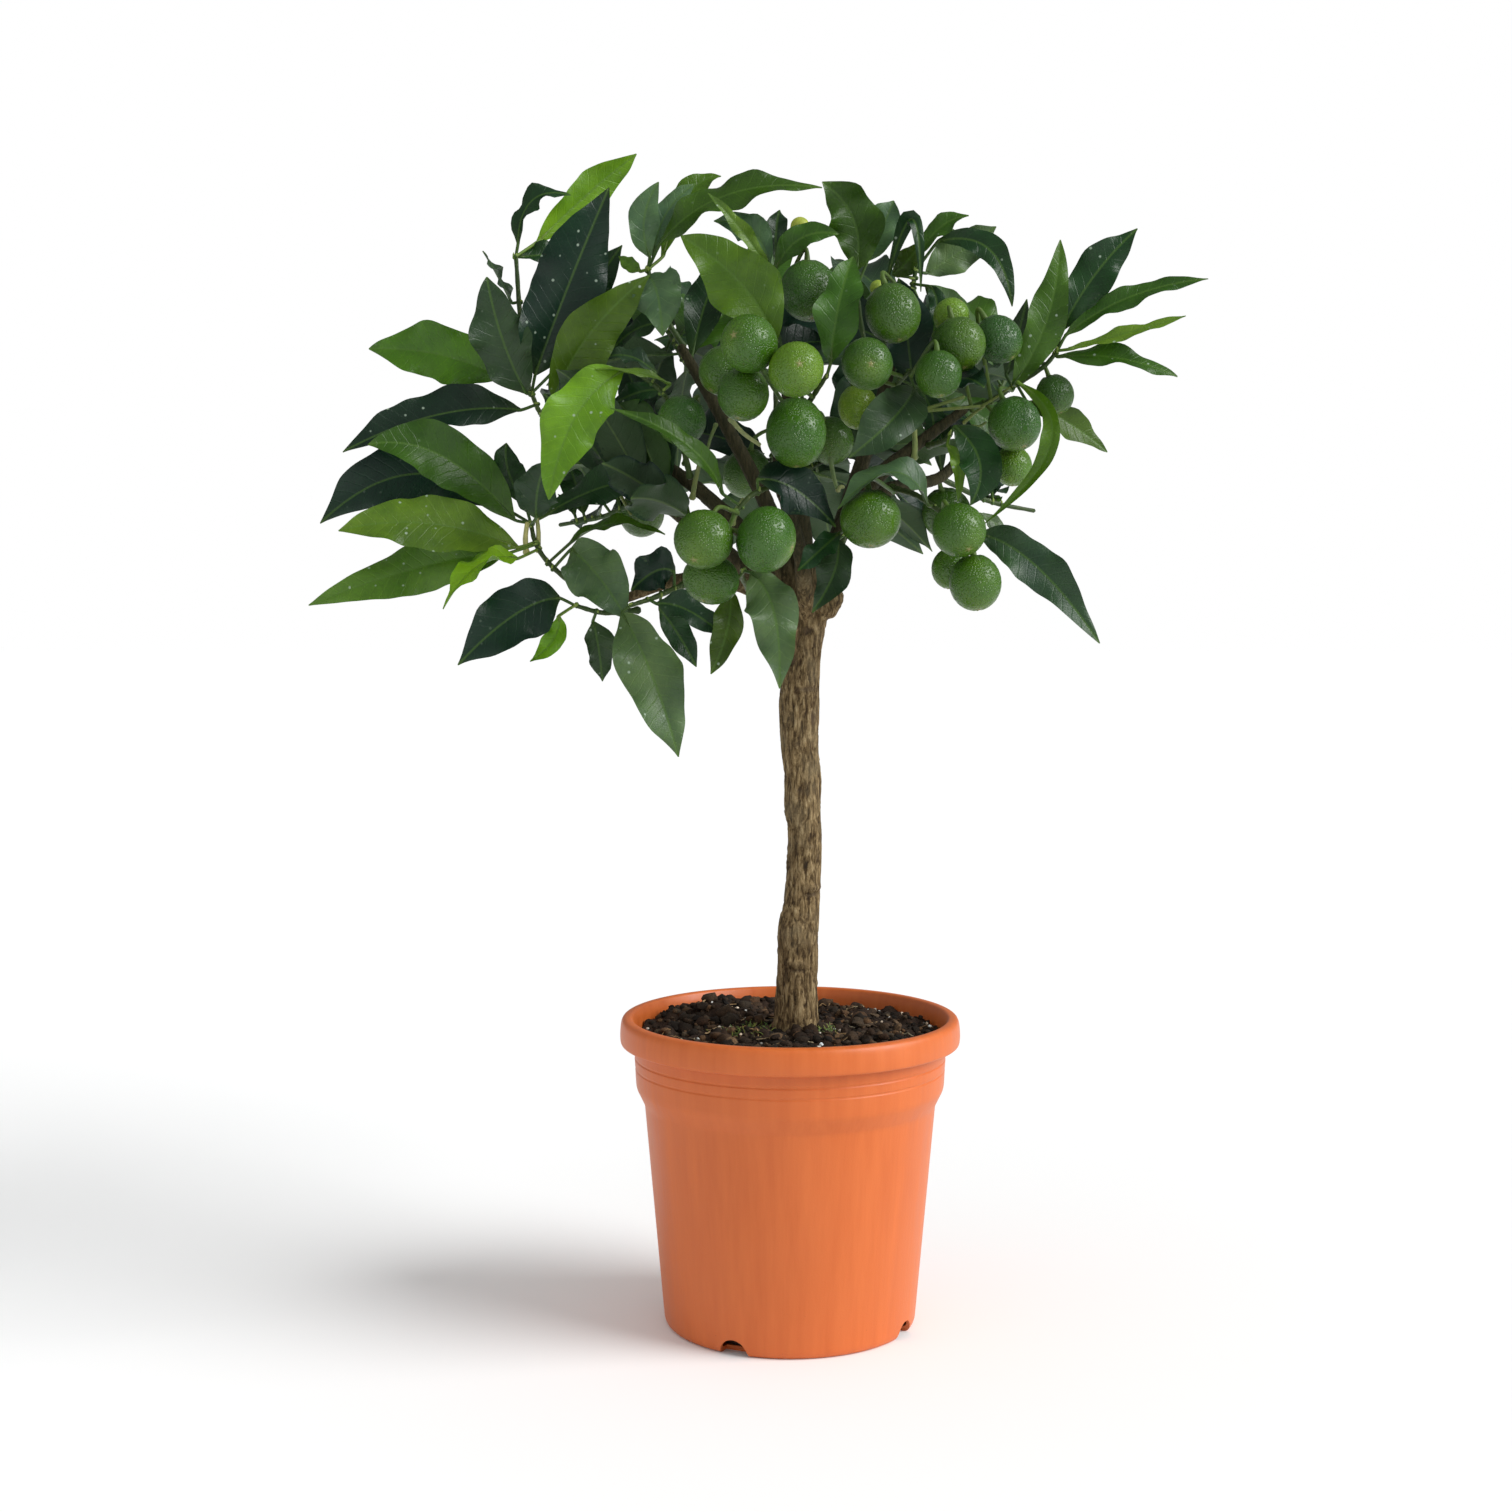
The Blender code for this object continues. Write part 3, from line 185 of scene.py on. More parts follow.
# Sprays of foliage: the twig's places, then each leaf's base, middle and tip, width, turn and tone.
# A turn of 0 shows the viewer the upper side, and 90 shows it to the sky.
SPRAYS = {
    "left_low": (
        [(-96, -5, 405), (-115, -10, 411), (-131, -12, 423), (-140, -12, 435), (-143, -10, 447)],
        [((-150, -16, 434), (-200, -32, 447), (-249, -38, 443), 42, 30, "light"),
         ((-158, -18, 430), (-205, -22, 423), (-266, -26, 402), 34, 10, "light"),
         ((-150, -24, 428), (-172, -40, 424), (-192, -52, 400), 26, 60, "yellow"),
         ((-152, -10, 449), (-192, -22, 484), (-232, -30, 490), 36, 20, "mid"),
         ((-158, -2, 456), (-208, -2, 474), (-259, 0, 447), 42, 15, "dark"),
         ((-140, -24, 450), (-139, -32, 466), (-134, -38, 481), 25, 0, "dull"),
         ((-134, -12, 452), (-103, -16, 467), (-70, -18, 472), 22, 30, "deep"),
         ((-146, 0, 458), (-155, 4, 475), (-156, 10, 491), 20, 20, "deep"),
         ((-121, -18, 433), (-106, -32, 418), (-90, -40, 394), 33, 0, "pale"),
         ((-122, -12, 436), (-98, -16, 447), (-69, -18, 441), 12, 60, "olive")]),
    "left_under": (
        [(-88, -10, 399), (-104, -14, 398), (-119, -16, 402)],
        [((-127, -20, 406), (-152, -28, 397), (-184, -34, 369), 36, 10, "dark"),
         ((-128, -12, 396), (-131, -10, 383), (-144, -12, 371), 15, 10, "yellow"),
         ((-109, -6, 393), (-106, -4, 378), (-104, -2, 360), 19, 30, "dull")]),
    "left_mid": (
        [(-101, 11, 492), (-120, 6, 499), (-136, 4, 506), (-142, 4, 518)],
        [((-148, 0, 509), (-195, -6, 506), (-246, -10, 486), 30, 30, "dark"),
         ((-158, 8, 526), (-192, 12, 539), (-231, 16, 542), 37, 0, "bright"),
         ((-145, -6, 518), (-158, -14, 548), (-166, -18, 581), 33, 0, "dull"),
         ((-140, -2, 528), (-122, -10, 575), (-99, -14, 629), 42, -10, "dark"),
         ((-130, 12, 530), (-112, 10, 568), (-92, 8, 598), 28, 0, "deep"),
         ((-130, -14, 515), (-110, -24, 550), (-77, -28, 582), 31, -10, "olive")]),
    "left_top": (
        [(-144, 6, 523), (-148, 8, 560), (-150, 10, 592)],
        [((-152, 8, 567), (-160, 10, 582), (-168, 12, 595), 12, 75, "dull"),
         ((-149, 10, 599), (-141, 10, 622), (-120, 10, 625), 16, 40, "deep"),
         ((-149, 14, 592), (-130, 20, 594), (-108, 26, 600), 15, 30, "deep"),
         ((-138, 22, 600), (-110, 34, 626), (-84, 40, 647), 26, -20, "yellow")]),
    "top_left": (
        [(-61, 6, 547), (-72, 0, 565), (-78, -2, 585)],
        [((-77, -6, 592), (-80, -10, 612), (-72, -12, 632), 18, 0, "pale"),
         ((-75, 2, 592), (-68, 4, 615), (-52, 8, 631), 16, 20, "pale"),
         ((-72, -8, 598), (-35, -18, 625), (17, -20, 629), 24, 35, "mid"),
         ((-70, 10, 592), (-56, 22, 625), (-38, 26, 635), 18, 20, "bright"),
         ((-82, 2, 584), (-88, 4, 588), (-94, 6, 592), 10, 0, "light"),
         ((-78, -14, 581), (-73, -36, 572), (-70, -54, 549), 29, 0, "pale"),
         ((-68, 6, 556), (-84, 10, 553), (-98, 14, 541), 14, 30, "deep")]),
    "centre_left": (
        [(-56, -10, 476), (-62, -26, 500), (-70, -34, 518), (-84, -38, 529)],
        [((-92, -42, 530), (-118, -56, 505), (-133, -62, 460), 38, 0, "yellow"),
         ((-66, -36, 523), (-85, -44, 530), (-111, -50, 531), 9, 60, "light"),
         ((-74, -26, 529), (-88, -22, 538), (-103, -18, 537), 12, 40, "dull"),
         ((-70, -24, 520), (-85, -18, 518), (-100, -10, 510), 14, 20, "deep")]),
    "fruit_low": (
        [(-10, -57, 468), (-22, -64, 462), (-31, -68, 452)],
        [((-37, -64, 463), (-58, -92, 491), (-99, -92, 510), 13, 35, "mid"),
         ((-18, -66, 471), (2, -68, 466), (25, -78, 445), 28, 25, "dark")]),
    "hang_left": (
        [(-62, -20, 412), (-76, -34, 406), (-88, -42, 402)],
        [((-93, -46, 398), (-76, -60, 362), (-62, -64, 318), 34, 10, "pale"),
         ((-74, -40, 403), (-56, -46, 399), (-35, -50, 383), 18, 30, "dull"),
         ((-72, -26, 400), (-62, -22, 386), (-52, -20, 368), 16, 10, "deep"),
         ((-64, -26, 420), (-74, -28, 421), (-88, -24, 410), 24, 10, "dark")]),
    "hang_mid": (
        [(-24, -21, 413), (-27, -34, 418), (-26, -46, 421)],
        [((-22, -52, 420), (-9, -66, 398), (-6, -72, 356), 28, 0, "pale"),
         ((-33, -48, 411), (-35, -52, 388), (-44, -54, 364), 17, 0, "olive")]),
    "over_trunk": (
        [(25, -14, 414), (28, -24, 430), (30, -32, 443)],
        [((26, -36, 438), (24, -38, 420), (12, -40, 398), 20, 10, "dull"),
         ((27, -40, 442), (16, -50, 432), (4, -54, 421), 14, 20, "deep")]),
    "low_right": (
        [(58, -17, 466), (70, -32, 462), (82, -40, 454), (97, -35, 447)],
        [((76, -46, 457), (56, -58, 475), (26, -64, 455), 26, 60, "pale"),
         ((104, -28, 441), (135, -36, 424), (171, -44, 381), 25, 10, "dull"),
         ((104, -22, 452), (114, -18, 446), (126, -14, 434), 9, 30, "pale")]),
    "right_low": (
        [(78, -18, 490), (84, -28, 492), (88, -34, 496)],
        [((90, -36, 500), (104, -46, 480), (99, -50, 457), 24, 0, "deep"),
         ((86, -38, 490), (92, -44, 478), (92, -48, 459), 9, 0, "light")]),
    "right_cluster": (
        [(98, -5, 510), (110, -8, 514), (121, -10, 521), (138, -14, 532), (146, -16, 541)],
        [((122, -18, 523), (140, -28, 558), (147, -30, 601), 23, 0, "mid"),
         ((148, -16, 552), (166, -16, 582), (189, -14, 607), 25, 10, "deep"),
         ((150, -20, 549), (185, -26, 570), (228, -28, 580), 15, 35, "mid"),
         ((152, -26, 542), (185, -36, 551), (216, -40, 560), 11, 40, "light"),
         ((146, -22, 538), (180, -34, 537), (212, -36, 527), 17, 40, "mid"),
         ((118, -2, 528), (124, 4, 548), (129, 8, 569), 14, 20, "dull"),
         ((130, -10, 513), (152, -14, 502), (174, -18, 486), 18, 20, "olive"),
         ((124, -36, 524), (143, -62, 492), (107, -42, 447), 11, 20, "bright")]),
    "centre_right": (
        [(56, 2, 520), (62, -14, 527), (66, -22, 530)],
        [((68, -36, 521), (56, -72, 504), (32, -76, 483), 29, 0, "dull"),
         ((70, -24, 521), (78, -28, 505), (76, -32, 488), 14, 0, "deep")]),
    "top_right": (
        [(61, 15, 557), (66, 8, 572), (68, 6, 584)],
        [((52, -2, 577), (66, -20, 612), (71, -24, 573), 9, 10, "deep"),
         ((56, 6, 582), (64, -4, 590), (72, -12, 600), 14, 10, "olive"),
         ((70, 4, 593), (82, 2, 608), (97, 0, 614), 14, 30, "mid"),
         ((74, 14, 583), (92, 20, 594), (112, 24, 608), 24, 0, "pale"),
         ((80, 2, 600), (108, -8, 596), (121, -10, 565), 16, 10, "deep"),
         ((76, 0, 576), (80, -8, 566), (78, -14, 551), 10, 0, "deep")]),
    "top_mid": (
        [(50, 16, 519), (40, 18, 548), (36, 16, 575)],
        [((36, 8, 585), (34, 6, 612), (17, 2, 632), 32, 0, "mid"),
         ((42, 18, 590), (50, 20, 608), (56, 22, 622), 22, 0, "pale")]),
    "centre_top": (
        [(-5, -30, 539), (-9, -38, 560), (-10, -36, 580)],
        [((-8, -64, 547), (-28, -68, 578), (-60, -70, 603), 40, 0, "bright"),
         ((-12, -40, 584), (-26, -48, 605), (-45, -50, 626), 10, 10, "light"),
         ((-8, -32, 586), (6, -38, 602), (26, -40, 604), 17, 20, "mid"),
         ((-12, -22, 588), (-22, -14, 606), (-42, -8, 611), 18, 0, "pale"),
         ((-8, -18, 590), (-8, -12, 606), (-6, -8, 617), 14, 0, "dull")]),
    "centre_front": (
        [(3, -30, 502), (12, -48, 516), (20, -56, 528)],
        [((22, -60, 535), (26, -66, 565), (34, -50, 592), 26, 10, "mid")]),
}

# Sprays that fill the sides and the back: where the twig starts, its heading (0 is +X, 90 the back),
# its climb in degrees, its length in millimetres and how many leaves it carries
FILL_SPRAYS = {
    "back_low": ((-8, 100, 497), 95, -30, 70, 8),
    "back_top": ((-8, 108, 505), 90, 45, 80, 10),
    "back_mid": ((-4, 70, 474), 60, 10, 80, 9),
    "back_left_low": ((-76, 80, 463), 150, -20, 70, 8),
    "back_left_top": ((-94, 99, 487), 130, 45, 75, 10),
    "back_right_low": ((84, 74, 471), 30, -20, 70, 8),
    "back_right_top": ((100, 91, 495), 50, 45, 75, 10),
    "upper_left": ((-47, 3, 521), 115, 30, 60, 9),
    "upper_right": ((54, 10, 532), 70, 30, 60, 9),
    "inner_left": ((-30, 5, 446), 190, 10, 60, 10),
    "inner_right": ((46, 8, 498), -20, 30, 50, 8),
}

# Kumquats: centre, width, length, the way the flower end faces, and where the stalk starts
KUMQUATS = [
    ((-23, -92, 545), 29, 31, (-0.5, -0.8, 0.2), (-3, -27, 524)),
    ((3, -84, 531), 28, 31, (0.1, -1.0, 0.1), (12, -48, 516)),
    ((-26, -76, 517), 27, 28, (-0.2, -0.3, -0.9), (-1, -24, 508)),
    ((3, -80, 496), 32, 37, (0.0, -0.2, -1.0), (8, -40, 510)),
    ((-37, -50, 530), 26, 27, (-0.5, -0.3, -0.8), (-3, -27, 526)),
    ((10, -38, 573), 31, 33, (0.1, -0.3, -0.9), (-8, -31, 562)),
    ((56, -58, 561), 29, 32, (0.2, -0.3, -0.9), (65, 9, 568)),
    ((42, -66, 534), 27, 28, (0.1, -1.0, -0.1), (62, -14, 527)),
    ((37, -36, 510), 22, 24, (0.1, -0.2, -1.0), (58, -4, 522)),
    ((92, -46, 544), 29, 29, (0.2, -0.4, -0.9), (99, -8, 511)),
    ((114, -30, 547), 25, 27, (0.5, -0.3, -0.7), (110, -9, 514)),
    ((81, -40, 528), 24, 25, (0.1, -0.3, -0.9), (66, -20, 528)),
    ((88, -30, 560), 19, 20, (0.4, -0.2, 0.6), (67, 8, 574)),
    ((145, -16, 517), 21, 22, (0.3, -0.2, -0.9), (138, -14, 531)),
    ((123, -36, 501), 28, 30, (0.3, -0.4, -0.8), (121, -10, 520)),
    ((122, -34, 478), 21, 22, (0.0, -0.2, -1.0), (107, -8, 512)),
    ((93, -66, 443), 28, 29, (0.3, -0.6, -0.7), (84, -39, 453)),
    ((102, -66, 414), 28, 30, (0.1, -0.2, -1.0), (86, -39, 450)),
    ((89, -50, 422), 22, 23, (-0.2, -0.1, -1.0), (91, -37, 447)),
    ((44, -54, 449), 32, 31, (0.0, -0.3, -0.9), (57, -14, 464)),
    ((-48, -96, 438), 30, 31, (-0.3, -0.6, -0.7), (-30, -68, 453)),
    ((-13, -100, 438), 34, 30, (0.9, -0.3, -0.3), (-29, -68, 454)),
    ((-44, -84, 416), 30, 26, (-0.3, -0.3, -0.9), (-31, -68, 452)),
    ((-60, -48, 503), 26, 27, (-0.4, -0.6, -0.6), (-58, -10, 482)),
    ((-24, 122, 474), 29, 31, (-0.2, 0.4, -0.9), (-8, 104, 500)),
    ((-82, 122, 452), 27, 29, (-0.3, 0.4, -0.8), (-88, 93, 480)),
    ((86, 116, 452), 30, 32, (0.2, 0.4, -0.9), (92, 84, 484)),
    ((22, 116, 492), 28, 29, (0.4, 0.6, -0.7), (-4, 72, 476)),
]

# The colour that each leaf tone takes in the finished look, and how much narrower some blades are
LEAF_LOOKS = {
    "dark": (0.006, 0.027, 0.017), "deep": (0.010, 0.045, 0.011), "mid": (0.032, 0.095, 0.006),
    "bright": (0.060, 0.155, 0.006), "light": (0.085, 0.180, 0.016), "olive": (0.045, 0.100, 0.005),
    "yellow": (0.135, 0.285, 0.010), "dull": (0.022, 0.056, 0.026), "pale": (0.070, 0.135, 0.062),
}
NARROWING = {"light": 0.80, "yellow": 0.82, "mid": 0.90, "bright": 0.86}

# The fruit's colour, the paler peel round its flower end, and the fruit that differ from the rest
FRUIT_TONE = (0.023, 0.080, 0.0025)
PALE_PEEL = (0.072, 0.160, 0.006)
FRUIT_TONES = {
    "kumquat_02": (0.062, 0.150, 0.005), "kumquat_08": (0.022, 0.080, 0.006),
    "kumquat_06": (0.018, 0.070, 0.005), "kumquat_09": (0.080, 0.180, 0.008),
    "kumquat_13": (0.095, 0.200, 0.012), "kumquat_16": (0.080, 0.180, 0.010),
    "kumquat_11": (0.016, 0.066, 0.008), "kumquat_15": (0.022, 0.080, 0.006),
    "kumquat_24": (0.022, 0.080, 0.006),
}

# Green wood
TWIG_TONE = (0.030, 0.060, 0.012)
YOUNG_PETIOLE = (0.090, 0.170, 0.020)
OLD_PETIOLE = (0.035, 0.080, 0.012)
BUD_TONE = (0.16, 0.24, 0.05)
CALYX_TONE = (0.060, 0.115, 0.018)
STALK_TONE = (0.055, 0.110, 0.018)

# The trunk's height, left edge and right edge
TRUNK_OUTLINE = [
    (104, -10, 16), (150, -11, 17.5), (163, -10.5, 17), (171, -8.6, 15.7), (197, -7, 15.7),
    (222, -7, 16.3), (242, -2.6, 16.8), (277, -1.4, 17.9), (290, -3, 17), (304, -2.6, 17.4),
    (321, -4.8, 15.2), (351, -5.9, 16.3), (370, -3, 16.5), (385, 1, 18), (395, 3, 21), (401, 5, 20),
]

# Knots and scars on the trunk's front: across, height, width, reach up and down, and rise
TRUNK_MARKS = [
    (9, 388, 3.0, 2.2, -1.8), (10, 356, 6.5, 1.6, -1.3), (4, 326, 3.4, 3.0, 1.8),
    (4, 326, 1.3, 1.2, -1.8), (-2.6, 288, 3.0, 3.5, 1.8), (5, 300, 2.0, 1.6, -1.1),
    (11, 269, 1.8, 1.4, 1.2), (13, 246, 5.0, 1.7, 1.6), (13, 242, 5.5, 0.9, -1.5),
    (3.5, 204, 6.5, 1.6, 1.3), (3.5, 200, 6.0, 0.9, -1.5), (-5, 221, 5.0, 6.5, 1.4),
    (13, 340, 1.6, 4.0, -0.8), (0, 372, 2.0, 2.0, -1.0),
]

# Side twigs and cut stubs: start, end, radius and tone
TWIGLETS = [
    ((-145.5, -12, 431), (-145, -16, 447), 1.6, (0.30, 0.33, 0.14)),
    ((-139, -10, 432), (-139.5, -12, 450), 1.4, (0.28, 0.31, 0.12)),
    ((70, -14, 508), (95, -18, 516), 1.1, (0.12, 0.18, 0.05)),
    ((70, -14, 508), (105, -20, 511), 1.0, (0.12, 0.18, 0.05)),
    ((105, -20, 511), (120, -24, 521), 0.8, (0.14, 0.20, 0.05)),
    ((95, -8, 502), (106, -12, 511), 1.0, (0.14, 0.20, 0.06)),
    ((100, -8, 500), (107, -8, 502), 0.9, (0.12, 0.18, 0.05)),
    ((102, -6, 493), (108, -6, 496), 0.9, (0.12, 0.18, 0.05)),
    ((-80, 6, 500), (-93, 0, 485), 0.9, (0.10, 0.15, 0.05)),
    ((-33, -30, 504), (-17, -34, 490), 1.3, (0.26, 0.30, 0.13)),
    ((-41, -24, 501), (-46, -28, 485), 1.0, (0.11, 0.16, 0.05)),
    ((-95, 4, 465), (-88, 2, 452), 1.0, (0.11, 0.16, 0.05)),
    ((68, -14, 483), (68, -16, 498), 1.7, (0.16, 0.22, 0.08)),
    ((-32, -12, 447), (-26, -14, 460), 1.6, (0.16, 0.22, 0.08)),
    ((-54, -8, 461), (-50, -10, 480), 1.5, (0.15, 0.20, 0.07)),
    ((22, -26, 482), (26, -30, 465), 1.3, (0.14, 0.20, 0.07)),
    ((26, -30, 465), (29, -30, 467), 1.2, (0.20, 0.24, 0.10)),
]

# Round flower buds: place, radius and tone
BUDS = [((47.5, -20, 575), 4.3, (0.24, 0.33, 0.04)), ((5, -20, 608), 5.2, (0.26, 0.35, 0.05))]

SOIL_TONES = ((0.018, 0.011, 0.006), (0.030, 0.018, 0.010), (0.055, 0.034, 0.019), (0.012, 0.008, 0.005),
              (0.090, 0.056, 0.030))

PERLITE_TONES = ((0.80, 0.77, 0.70), (0.60, 0.56, 0.48))
CHIP_TONES = ((0.060, 0.034, 0.018), (0.045, 0.026, 0.015), (0.120, 0.080, 0.045))

# Soil crumbs, perlite and bark chips: how many, their sizes in millimetres, tones, flatness, how much of
# their size they stand out by, and how far from the middle they lie
SOIL_CRUMBS = [
    (1500, (0.6, 1.9), SOIL_TONES, 0.7, 0.15, 0.0825),
    (260, (1.8, 3.6), SOIL_TONES, 0.65, 0.15, 0.0825),
    (80, (3.2, 6.0), SOIL_TONES[:3], 0.75, 0.12, 0.077),
    (60, (0.6, 1.3), PERLITE_TONES, 0.8, 0.9, 0.0825),
    (70, (1.8, 4.2), CHIP_TONES, 0.30, 0.25, 0.0825),
]

# Thin pale roots and straw on the soil: how many, the length of each of their steps, and their tones
ROOTLETS = 60
ROOTLET_STEP = 0.0022
ROOTLET_TONES = ((0.36, 0.26, 0.14), (0.22, 0.14, 0.07), (0.45, 0.36, 0.22))

# Moss and green shoots: place, spread, strands and tone
MOSS = [((-22, -4), 8, 90, (0.130, 0.180, 0.045)), ((19, -10), 2.5, 30, (0.20, 0.26, 0.08))]


def placed(place):
    """A plan place, read in the plane of the trunk, slid along the line of sight to its own depth."""
    across, deep, high = (value * MM for value in place)
    return EYE + (Vector((across, 0, high)) - EYE) * (1 + deep / -EYE.y)


def seen(point):
    """Where a point shows in the plane of the trunk, seen from the front."""
    return EYE + (point - EYE) * (-EYE.y / (point.y - EYE.y))


def smooth_route(points, pieces=4):
    """A Catmull-Rom curve through the points."""
    padded = [2 * points[0] - points[1], *points, 2 * points[-1] - points[-2]]
    route = []
    for a, b, c, d in zip(padded, padded[1:], padded[2:], padded[3:]):
        for step in range(pieces):
            t = step / pieces
            route.append(0.5 * (2 * b + (c - a) * t + (2 * a - 5 * b + 4 * c - d) * t * t
                                + (3 * b - a - 3 * c + d) * t ** 3))
    return route + [points[-1]]


def tapered(route, start, end):
    """A radius for each place on a route."""
    last = len(route) - 1
    return [start + (end - start) * index / last for index in range(last + 1)]


def nearest_on(route, point):
    """The place on a route nearest to a point, and how far along it is, from 0 to 1."""
    best = None
    for index, (a, b) in enumerate(zip(route, route[1:])):
        share = max(0.0, min(1.0, (point - a).dot(b - a) / (b - a).length_squared))
        place = a + (b - a) * share
        if best is None or (place - point).length < best[0]:
            best = ((place - point).length, place, (index + share) / (len(route) - 1))
    return best[1], best[2]


def tube_shape(route, radii, sides=6):
    """Corners and faces of a closed tube, for testing where things touch."""
    corners, faces = [], []
    for index, (point, radius) in enumerate(zip(route, radii)):
        ahead = route[min(index + 1, len(route) - 1)] - route[max(index - 1, 0)]
        side = ahead.cross(Vector((0.3, 0.2, 1))).normalized()
        over = ahead.cross(side).normalized()
        for turn in range(sides):
            angle = math.tau * turn / sides
            corners.append(point + radius * (math.cos(angle) * side + math.sin(angle) * over))
    for ring in range(len(route) - 1):
        for turn in range(sides):
            a, b = ring * sides + turn, ring * sides + (turn + 1) % sides
            faces.append((a, b, b + sides, a + sides))
    faces.append(tuple(reversed(range(sides))))
    faces.append(tuple(range(len(corners) - sides, len(corners))))
    return corners, faces


class Leaf:
    """A blade on a petiole: a parabola from base to tip with a width, a turn about it and a tone."""

    def __init__(self, root, base, middle, tip, width, turn, tone, facing):
        self.root, self.base, self.middle, self.tip = root, base, middle, tip
        self.width, self.turn, self.tone, self.facing = width, turn, tone, facing
        over = (tip - base).cross(facing)
        self.hand = -1 if over.z < 0 else 1

    def at(self, t):
        """The midrib's place, and the blade's side and upper directions there."""
        bend = 2 * self.middle - (self.base + self.tip) / 2
        place = (1 - t) ** 2 * self.base + 2 * t * (1 - t) * bend + t * t * self.tip
        ahead = ((1 - t) * (bend - self.base) + t * (self.tip - bend)).normalized()
        front = (self.facing - self.facing.dot(ahead) * ahead).normalized()
        over = self.hand * ahead.cross(front)
        upper = math.cos(self.turn) * front + math.sin(self.turn) * over
        return place, upper.cross(ahead), upper

    def half_width(self, t):
        return self.width / 2 * math.sin(math.pi * t ** 0.9) ** 0.85

    def ring(self, t, thickness, extra):
        """Left edge, top, right edge and underside of the blade at t."""
        place, side, upper = self.at(t)
        half = self.half_width(t) + extra
        rise = upper * (half * math.tan(LEAF_FOLD))
        return [place - side * half + rise, place + upper * thickness / 2,
                place + side * half + rise, place - upper * thickness / 2]

    def petiole_ring(self, place, ahead, radius):
        """Four corners of the petiole, square to the way that it runs."""
        side = self.at(0)[1]
        side = (side - side.dot(ahead) * ahead).normalized()
        upper = ahead.cross(side)
        return [place - side * radius, place + upper * radius, place + side * radius, place - upper * radius]

    def shape(self, first=None, extra=0.0):
        """Corners and faces of the closed leaf. With first, the blade from there on, with no petiole."""
        thickness = LEAF_THICKNESS + 2 * extra
        rings = []
        if first is None:
            way = (self.base - self.root).normalized()
            ahead = self.at(0)[1].cross(self.at(0)[2])
            rings.append(self.petiole_ring(self.root, way, PETIOLE_RADIUS + extra))
            rings.append(self.petiole_ring(self.base, (way + ahead).normalized(), PETIOLE_RADIUS + extra))
        rings += [self.ring(t, thickness, extra) for t in (first or 0.24, 0.52, 0.80)]
        corners = [corner for ring in rings for corner in ring] + [self.tip]
        faces = [(3, 2, 1, 0)]
        for start in range(0, 4 * len(rings) - 4, 4):
            for corner in range(4):
                a, b = start + corner, start + (corner + 1) % 4
                # Every diagonal runs from an edge to the midrib, so that top and underside never cross
                if corner % 2:
                    faces += [(a, b, a + 4), (b, b + 4, a + 4)]
                else:
                    faces += [(a, b, b + 4), (a, b + 4, a + 4)]
        start = 4 * len(rings) - 4
        faces += [(start + corner, start + (corner + 1) % 4, len(corners) - 1) for corner in range(4)]
        return corners, faces


class Thicket:
    """Everything grown so far, to keep each new piece clear of it."""

    def __init__(self):
        self.pieces = []

    def add(self, owner, shape, blade=None):
        self.pieces.append((owner, self.solid(shape), self.solid(blade) if blade else None))

    @staticmethod
    def solid(shape):
        corners, faces = shape
        low = Vector(min(corner[axis] for corner in corners) for axis in range(3))
        high = Vector(max(corner[axis] for corner in corners) for axis in range(3))
        return BVHTree.FromPolygons(corners, faces), low, high

    @staticmethod
    def meet(first, second):
        if any(first[1][axis] > second[2][axis] or second[1][axis] > first[2][axis] for axis in range(3)):
            return False
        return bool(first[0].overlap(second[0]))

    def is_clear(self, owner, shape, blade=None, apart=False):
        """Whether a piece is clear of other owners' pieces, and its blade of its owner's blades.

        With apart, each blade is also clear of the whole of its owner's other leaves, and of the twig.
        """
        solid = self.solid(shape)
        inner = self.solid(blade) if blade else None
        for other, whole, other_blade in self.pieces:
            if other != owner:
                if self.meet(solid, whole):
                    return False
            elif inner and other_blade and self.meet(inner, other_blade):
                return False
            elif apart and (self.meet(inner, whole) or (other_blade and self.meet(solid, other_blade))):
                return False
        return True


def either_way(step, count):
    """0, then steps away to one side and the other, growing."""
    shifts = [0.0]
    for index in range(1, count + 1):
        shifts += [index * step, -index * step]
    return shifts


def trimmed(route, length):
    """The route without its first stretch."""
    for index, (a, b) in enumerate(zip(route, route[1:])):
        step = (b - a).length
        if length < step:
            return [a + (b - a) * (length / step), *route[index + 1:]]
        length -= step
    return None


def rooted(owner, route, start, end, thicket):
    """The route of a twig or stalk from where it just clears the wood that it grows from, and its radii."""
    for step in range(ROOT_TRIES):
        rest = trimmed(route, step * GAP)
        if rest is None or len(rest) < 3:
            return None
        radii = tapered(rest, start, end)
        if thicket.is_clear(owner, tube_shape(rest, [radius + GAP for radius in radii])):
            return rest, radii
    return None


def ellipsoid_shape(centre, facing, width, length, sides=10, rings=6):
    """Corners and faces of an egg-round body whose long axis lies along facing."""
    side = facing.cross(Vector((0.3, 0.2, 1))).normalized()
    over = facing.cross(side)
    corners = [centre - facing * length / 2]
    for ring in range(1, rings):
        angle = math.pi * ring / rings
        for turn in range(sides):
            around = math.tau * turn / sides
            out = math.cos(around) * side + math.sin(around) * over
            corners.append(centre - facing * math.cos(angle) * length / 2 + out * math.sin(angle) * width / 2)
    corners.append(centre + facing * length / 2)
    faces = [(0, 1 + (turn + 1) % sides, 1 + turn) for turn in range(sides)]
    for ring in range(rings - 2):
        for turn in range(sides):
            a, b = 1 + ring * sides + turn, 1 + ring * sides + (turn + 1) % sides
            faces.append((a, b, b + sides, a + sides))
    end = len(corners) - 1
    faces += [(end, end - sides + turn, end - sides + (turn + 1) % sides) for turn in range(sides)]
    return corners, faces


